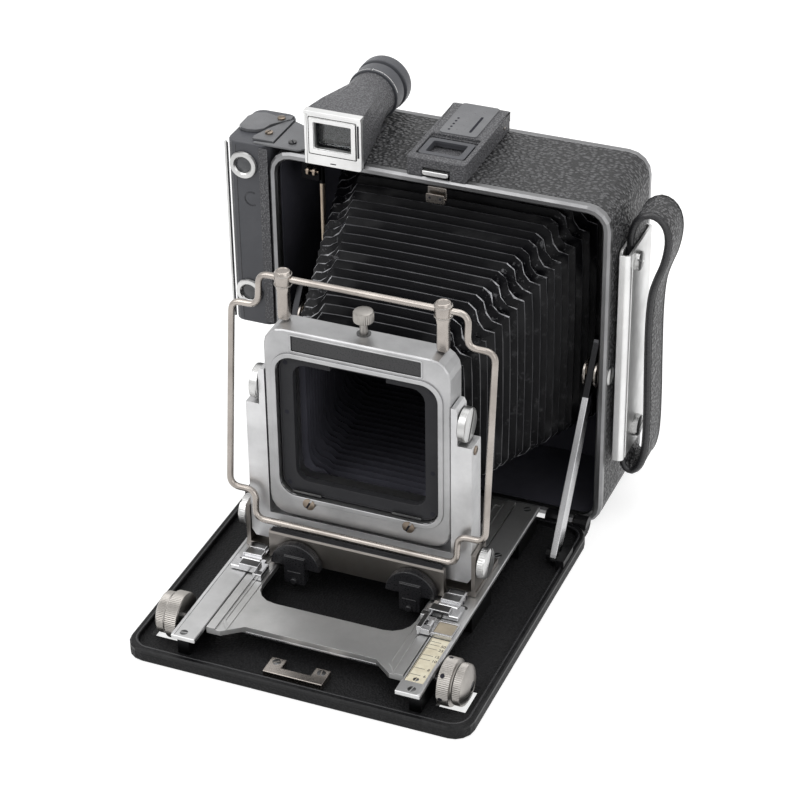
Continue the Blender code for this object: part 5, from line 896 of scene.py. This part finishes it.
def finder():
    """Front mask, slot and lip of the optical finder, its turned eyepiece and lens."""
    x, axis_z, barrel = -48.5, 182.6, 12.42
    bm = drawn(border, (x - 11.4, 173.0, x + 11.4, 190.6, 0.6), (x - 9.2, 175.3, x + 9.2, 188.7, 0.5), "Y", -3.5, -2.6)
    block(bm, (x - 14, -3.3, 192.2), (x + 14, 0.6, 193.9))
    block(bm, (x - 13.8, -3.1, 167.3), (x - 12.6, -2.6, 192.4))
    piece("finder_mask", bm, BRIGHT, "body", 0.2)
    # Dark strips and a dark ring around the mask: painted shade in its slot and gaps.
    bm = drawn(block, (x + 12.1, -2.95, 174.0), (x + 12.9, -2.75, 190.0))
    block(bm, (x - 1.4, -2.95, 168.6), (x + 1.4, -2.75, 169.0))
    border(bm, (x - 12.0, 172.3, x + 11.8, 191.2, 0.7), (x - 11.6, 172.7, x + 11.4, 190.8, 0.6), "Y", -2.8, -2.55)
    piece("finder_mask_slot", bm, DARK, "body")
    eye = facing((x, 43.3, axis_z), REAR)
    bm = drawn(lathe, [(8.2, 0.2), (12.2, 0.2), (12.4, 0.5), (12.4, 8.4), (12.1, 8.9), (11.0, 9.1), (11.0, 10.2),
                       (12.6, 10.6), (13.0, 11.0, 1), (13.0, 15.6, 1), (12.8, 16.4), (12.0, 17.5), (9.4, 17.7),
                       (8.6, 16.9), (8.0, 12.0), (8.2, 0.2)], eye, 96, 0.12)
    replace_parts(piece("eyepiece_barrel", bm, SLATE, "eyepiece", angle=25), "finder_eyepiece")
    piece("eyepiece_lens", drawn(lathe, [(0, 13.4), (7.9, 12.6), (8.05, 12.0), (0, 11.4)], eye, 48), LENS, "eyepiece")
    bm = bmesh.new()
    for step in range(14):
        turn = radians(10 * step + 20)
        spot = (x + barrel * cos(turn), 44.5, axis_z + barrel * sin(turn))
        base = facing(spot, (cos(turn), 0, sin(turn)))
        long = 1.6 if step % 3 == 0 else 0.9
        block(bm, (-0.16, -long, -0.05), (0.16, long, 0.06), base)
    piece("eyepiece_ticks", bm, BRIGHT, "eyepiece")


def top_housing():
    """Housing cap, folding peep frame, sliding plate with slot and dots, button and latch."""
    top, foot = 178.0, 168.9
    bm = drawn(border, (-14.2, 0.4, 14.2, 59.2, 1.6), (-11.8, 5.5, 11.8, 26.7, 0.9), "Z", 173.5, top)
    for low_x, high_x in ((-14.2, -6.5), (6.5, 14.2)):
        block(bm, (low_x, 0.38, foot), (high_x, 3.5, 175))
    for side in (-14.22, 13.0):
        block(bm, (side, 1.6, foot), (side + 1.22, 57.6, 177.2))
    block(bm, (-12.8, 56, foot), (12.8, 59.22, 177.2))
    piece("housing_cap", bm, CRINKLE, "body", 0.7)
    bm = drawn(border, (-11.1, 6.1, 11.1, 24.6, 1.2), (-8.2, 8.8, 8.2, 20.2, 1.0), "Z", 174.5, 176.3)
    border(bm, (-11.1, 6.1, 11.1, 22.3, 1.6), (-8.2, 8.8, 8.2, 19.8, 1.0), "Z", 176.2, top - 0.3)
    for side in (-1, 1):
        disc(bm, 1.0, 1.0, facing((side * 11.0, 23.7, 175.4), (side, 0, 0)), 16)
    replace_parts(piece("peep_frame", bm, SLATE, "sight", 0.2), "peep_sight")
    # The slide's face in the lighter enamel: painted light from above.
    piece("slide_face", drawn(plate, rounded(-9.3, 27.4, 9.0, 59.0, 1.6), "Z", top - 0.1, top + 0.5), LIT_TOP, "body", 0.2)
    # The slide's slot as a dark strip: painted shade.
    bm = drawn(plate, rounded(4.0, 31.0, 5.2, 47.5, 0.55), "Z", top + 0.4, top + 0.58)
    for index in range(5):
        disc(bm, 0.6, 0.08, facing((-5.6, 31.0 + 3.0 * index, top + 0.5), UP), 14)
    piece("slide_marks", bm, DARK, "body")
    bm = bmesh.new()
    low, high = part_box("release_button")
    front, back = low[1] / MM - SHIFT_Y, high[1] / MM - SHIFT_Y
    middle = 0.5 * (low[2] + high[2]) / MM
    plate(bm, [(-6.2, middle + 0.4), (6.2, middle + 0.4)] + arc(4.9, middle - 0.6, 1.3, 0, -90, 5)
          + arc(-4.9, middle - 0.6, 1.3, 270, 180, 5), "Y", front - 1.5, back)
    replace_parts(piece("button_face", bm, BRIGHT, "button", 0.35), "release_button")
    screw("housing_pin", (14.2, 50, 173.4), RIGHT, 0.9, NICKEL, "body", 0, 0.35, 0.3)
    low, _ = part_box("door_latch")
    front, z0 = low[1] / MM - SHIFT_Y, low[2] / MM
    piece("latch_face", drawn(plate, rounded(-4.4, z0 + 0.1, 4.4, z0 + 4.5, 0.3, 2), "Y", front - 0.5, front + 0.1),
          NICKEL, "latch", 0.15)
    # The latch's holes drawn as dark discs: painted shade.
    bm = bmesh.new()
    for x in (-2.6, 2.4):
        disc(bm, 0.6, 0.1, facing((x, front - 0.48, z0 + 2.6), FRONT), 14)
    piece("latch_holes", bm, DARK, "latch")


def back_details():
    """Border, hinge knuckles and catch of the hood, and screws of the panel, the back and the rangefinder's cover."""
    piece("hood_border", drawn(border, (-52, 21.4, 52, 147.4, 4, 6), (-50.6, 22.8, 50.6, 146, 3, 6), "Y", 84.2, 84.8),
          CRINKLE, "hood", 0.25)
    profile = [(0, 0), (1.4, 0), (1.6, 0.3), (1.6, 32.2), (1.4, 32.5), (0, 32.5)]
    for index, (start, body) in enumerate(((-50, "panel"), (-17, "hood"), (17, "panel"))):
        knuckle = drawn(lathe, profile, facing((start, 78.4, 152.4), RIGHT), 28)
        piece(f"hood_knuckle_{index + 1}", knuckle, MATT, body)
    bm = drawn(plate, rounded(-6.5, 15.6, 6.5, 24.5, 1.4, 5), "Y", 84.2, 85.0)
    block(bm, (-5, 84.6, 15.7), (5, 86.6, 16.7))
    piece("hood_catch", bm, NICKEL, "hood", 0.3)
    screw("hood_catch_screw", (0, 84.95, 21.2), REAR, 1.7, STEEL, "hood", 20, 0.5, 0.5)
    middle = 84.4
    for index, (side, z) in enumerate(((-1, 18.4), (1, 18.4), (-1, 150.4), (1, 150.4))):
        screw(f"back_screw_{index + 1}", (66.5 * side, 69.75, z), REAR, 2.3, STEEL, "back", 25 + 40 * index, 0.6, 0.6)
        spot = (58.5 * side, 78.05, middle + 0.98 * (z - middle))
        screw(f"panel_screw_{index + 1}", spot, REAR, 1.0, NICKEL, "panel", 60 * index, 0.4, 0.35)
    for index, z in enumerate((82.5, 160.5)):
        screw(f"cover_screw_{index + 1}", (-104.25, 21, z), (-1, 0, 0), 2.0, STEEL, "body", 30 + 70 * index, 0.6, 0.6)


def seen(tree):
    """1 for rays from the camera, a mirror or glass, and 0 for light that falls on other surfaces."""
    path = tree.nodes.new("ShaderNodeLightPath").outputs
    share = path["Is Camera Ray"]
    for name in ("Is Glossy Ray", "Is Transmission Ray"):
        larger = tree.nodes.new("ShaderNodeMath")
        larger.operation = "MAXIMUM"
        tree.links.new(share, larger.inputs[0])
        tree.links.new(path[name], larger.inputs[1])
        share = larger.outputs[0]
    return share


def lights_and_floor():
    """White floor and backdrop, soft lamps and the photograph's camera."""
    scene = bpy.context.scene
    scene.view_settings.view_transform = "Standard"
    world = bpy.data.worlds.new("studio")
    scene.world = world
    world.use_nodes = True
    tree = world.node_tree
    level = tree.nodes.new("ShaderNodeMapRange")
    level.inputs["To Min"].default_value = 0.5
    level.inputs["To Max"].default_value = 1.0
    tree.links.new(seen(tree), level.inputs["Value"])
    sky = tree.nodes["Background"]
    sky.inputs["Color"].default_value = (1, 1, 1, 1)
    tree.links.new(level.outputs["Result"], sky.inputs["Strength"])

    paint = Paint("white_floor", (0.5, 0.5, 0.5), 0.9, Emission_Color=(1, 1, 1, 1))
    glow = paint.sums(seen(paint.tree), 0.72, "MULTIPLY")
    paint.tree.links.new(glow, paint.base.inputs["Emission Strength"])
    bm = drawn(block, (-4000, -4000, -2), (4000, 4000, -0.05))
    floor = solid("floor", bm, paint.made)

    middle = Vector((0, 0, 0.08))
    for name, place, size, power in (("key", (-0.75, -0.75, 1.15), 1.1, 8.5), ("top", (0.15, 0.35, 1.4), 1.3, 8.5),
                                     ("fill", (1.1, -0.7, 0.75), 1.0, 3.5)):
        lamp = bpy.data.lights.new(name, "AREA")
        lamp.size = size
        lamp.energy = power
        obj = bpy.data.objects.new(name, lamp)
        obj.location = place
        obj.rotation_euler = (middle - Vector(place)).to_track_quat("-Z", "Y").to_euler()
        scene.collection.objects.link(obj)

    eye, target = Vector((0.38699, -0.92192, 0.71327)), Vector((-0.00145, 0.00194, 0.07607))
    roll = radians(-0.829)
    camera = bpy.data.objects.new("camera", bpy.data.cameras.new("camera"))
    camera.data.lens = 117.8
    camera.data.sensor_width = 36
    camera.location = eye
    aim = (target - eye).to_track_quat("-Z", "Y").to_matrix().to_4x4()
    camera.rotation_euler = (aim @ Matrix.Rotation(roll, 4, "Z")).to_euler()
    scene.collection.objects.link(camera)
    scene.camera = camera


dress_nodes()
bellows()
strap()
strut_washers()
wire_finder()
lens_front()
standard_knobs()
focus_knobs()
stops()
scale_marks()
bed_details()
rangefinder()
finder()
top_housing()
back_details()
lights_and_floor()
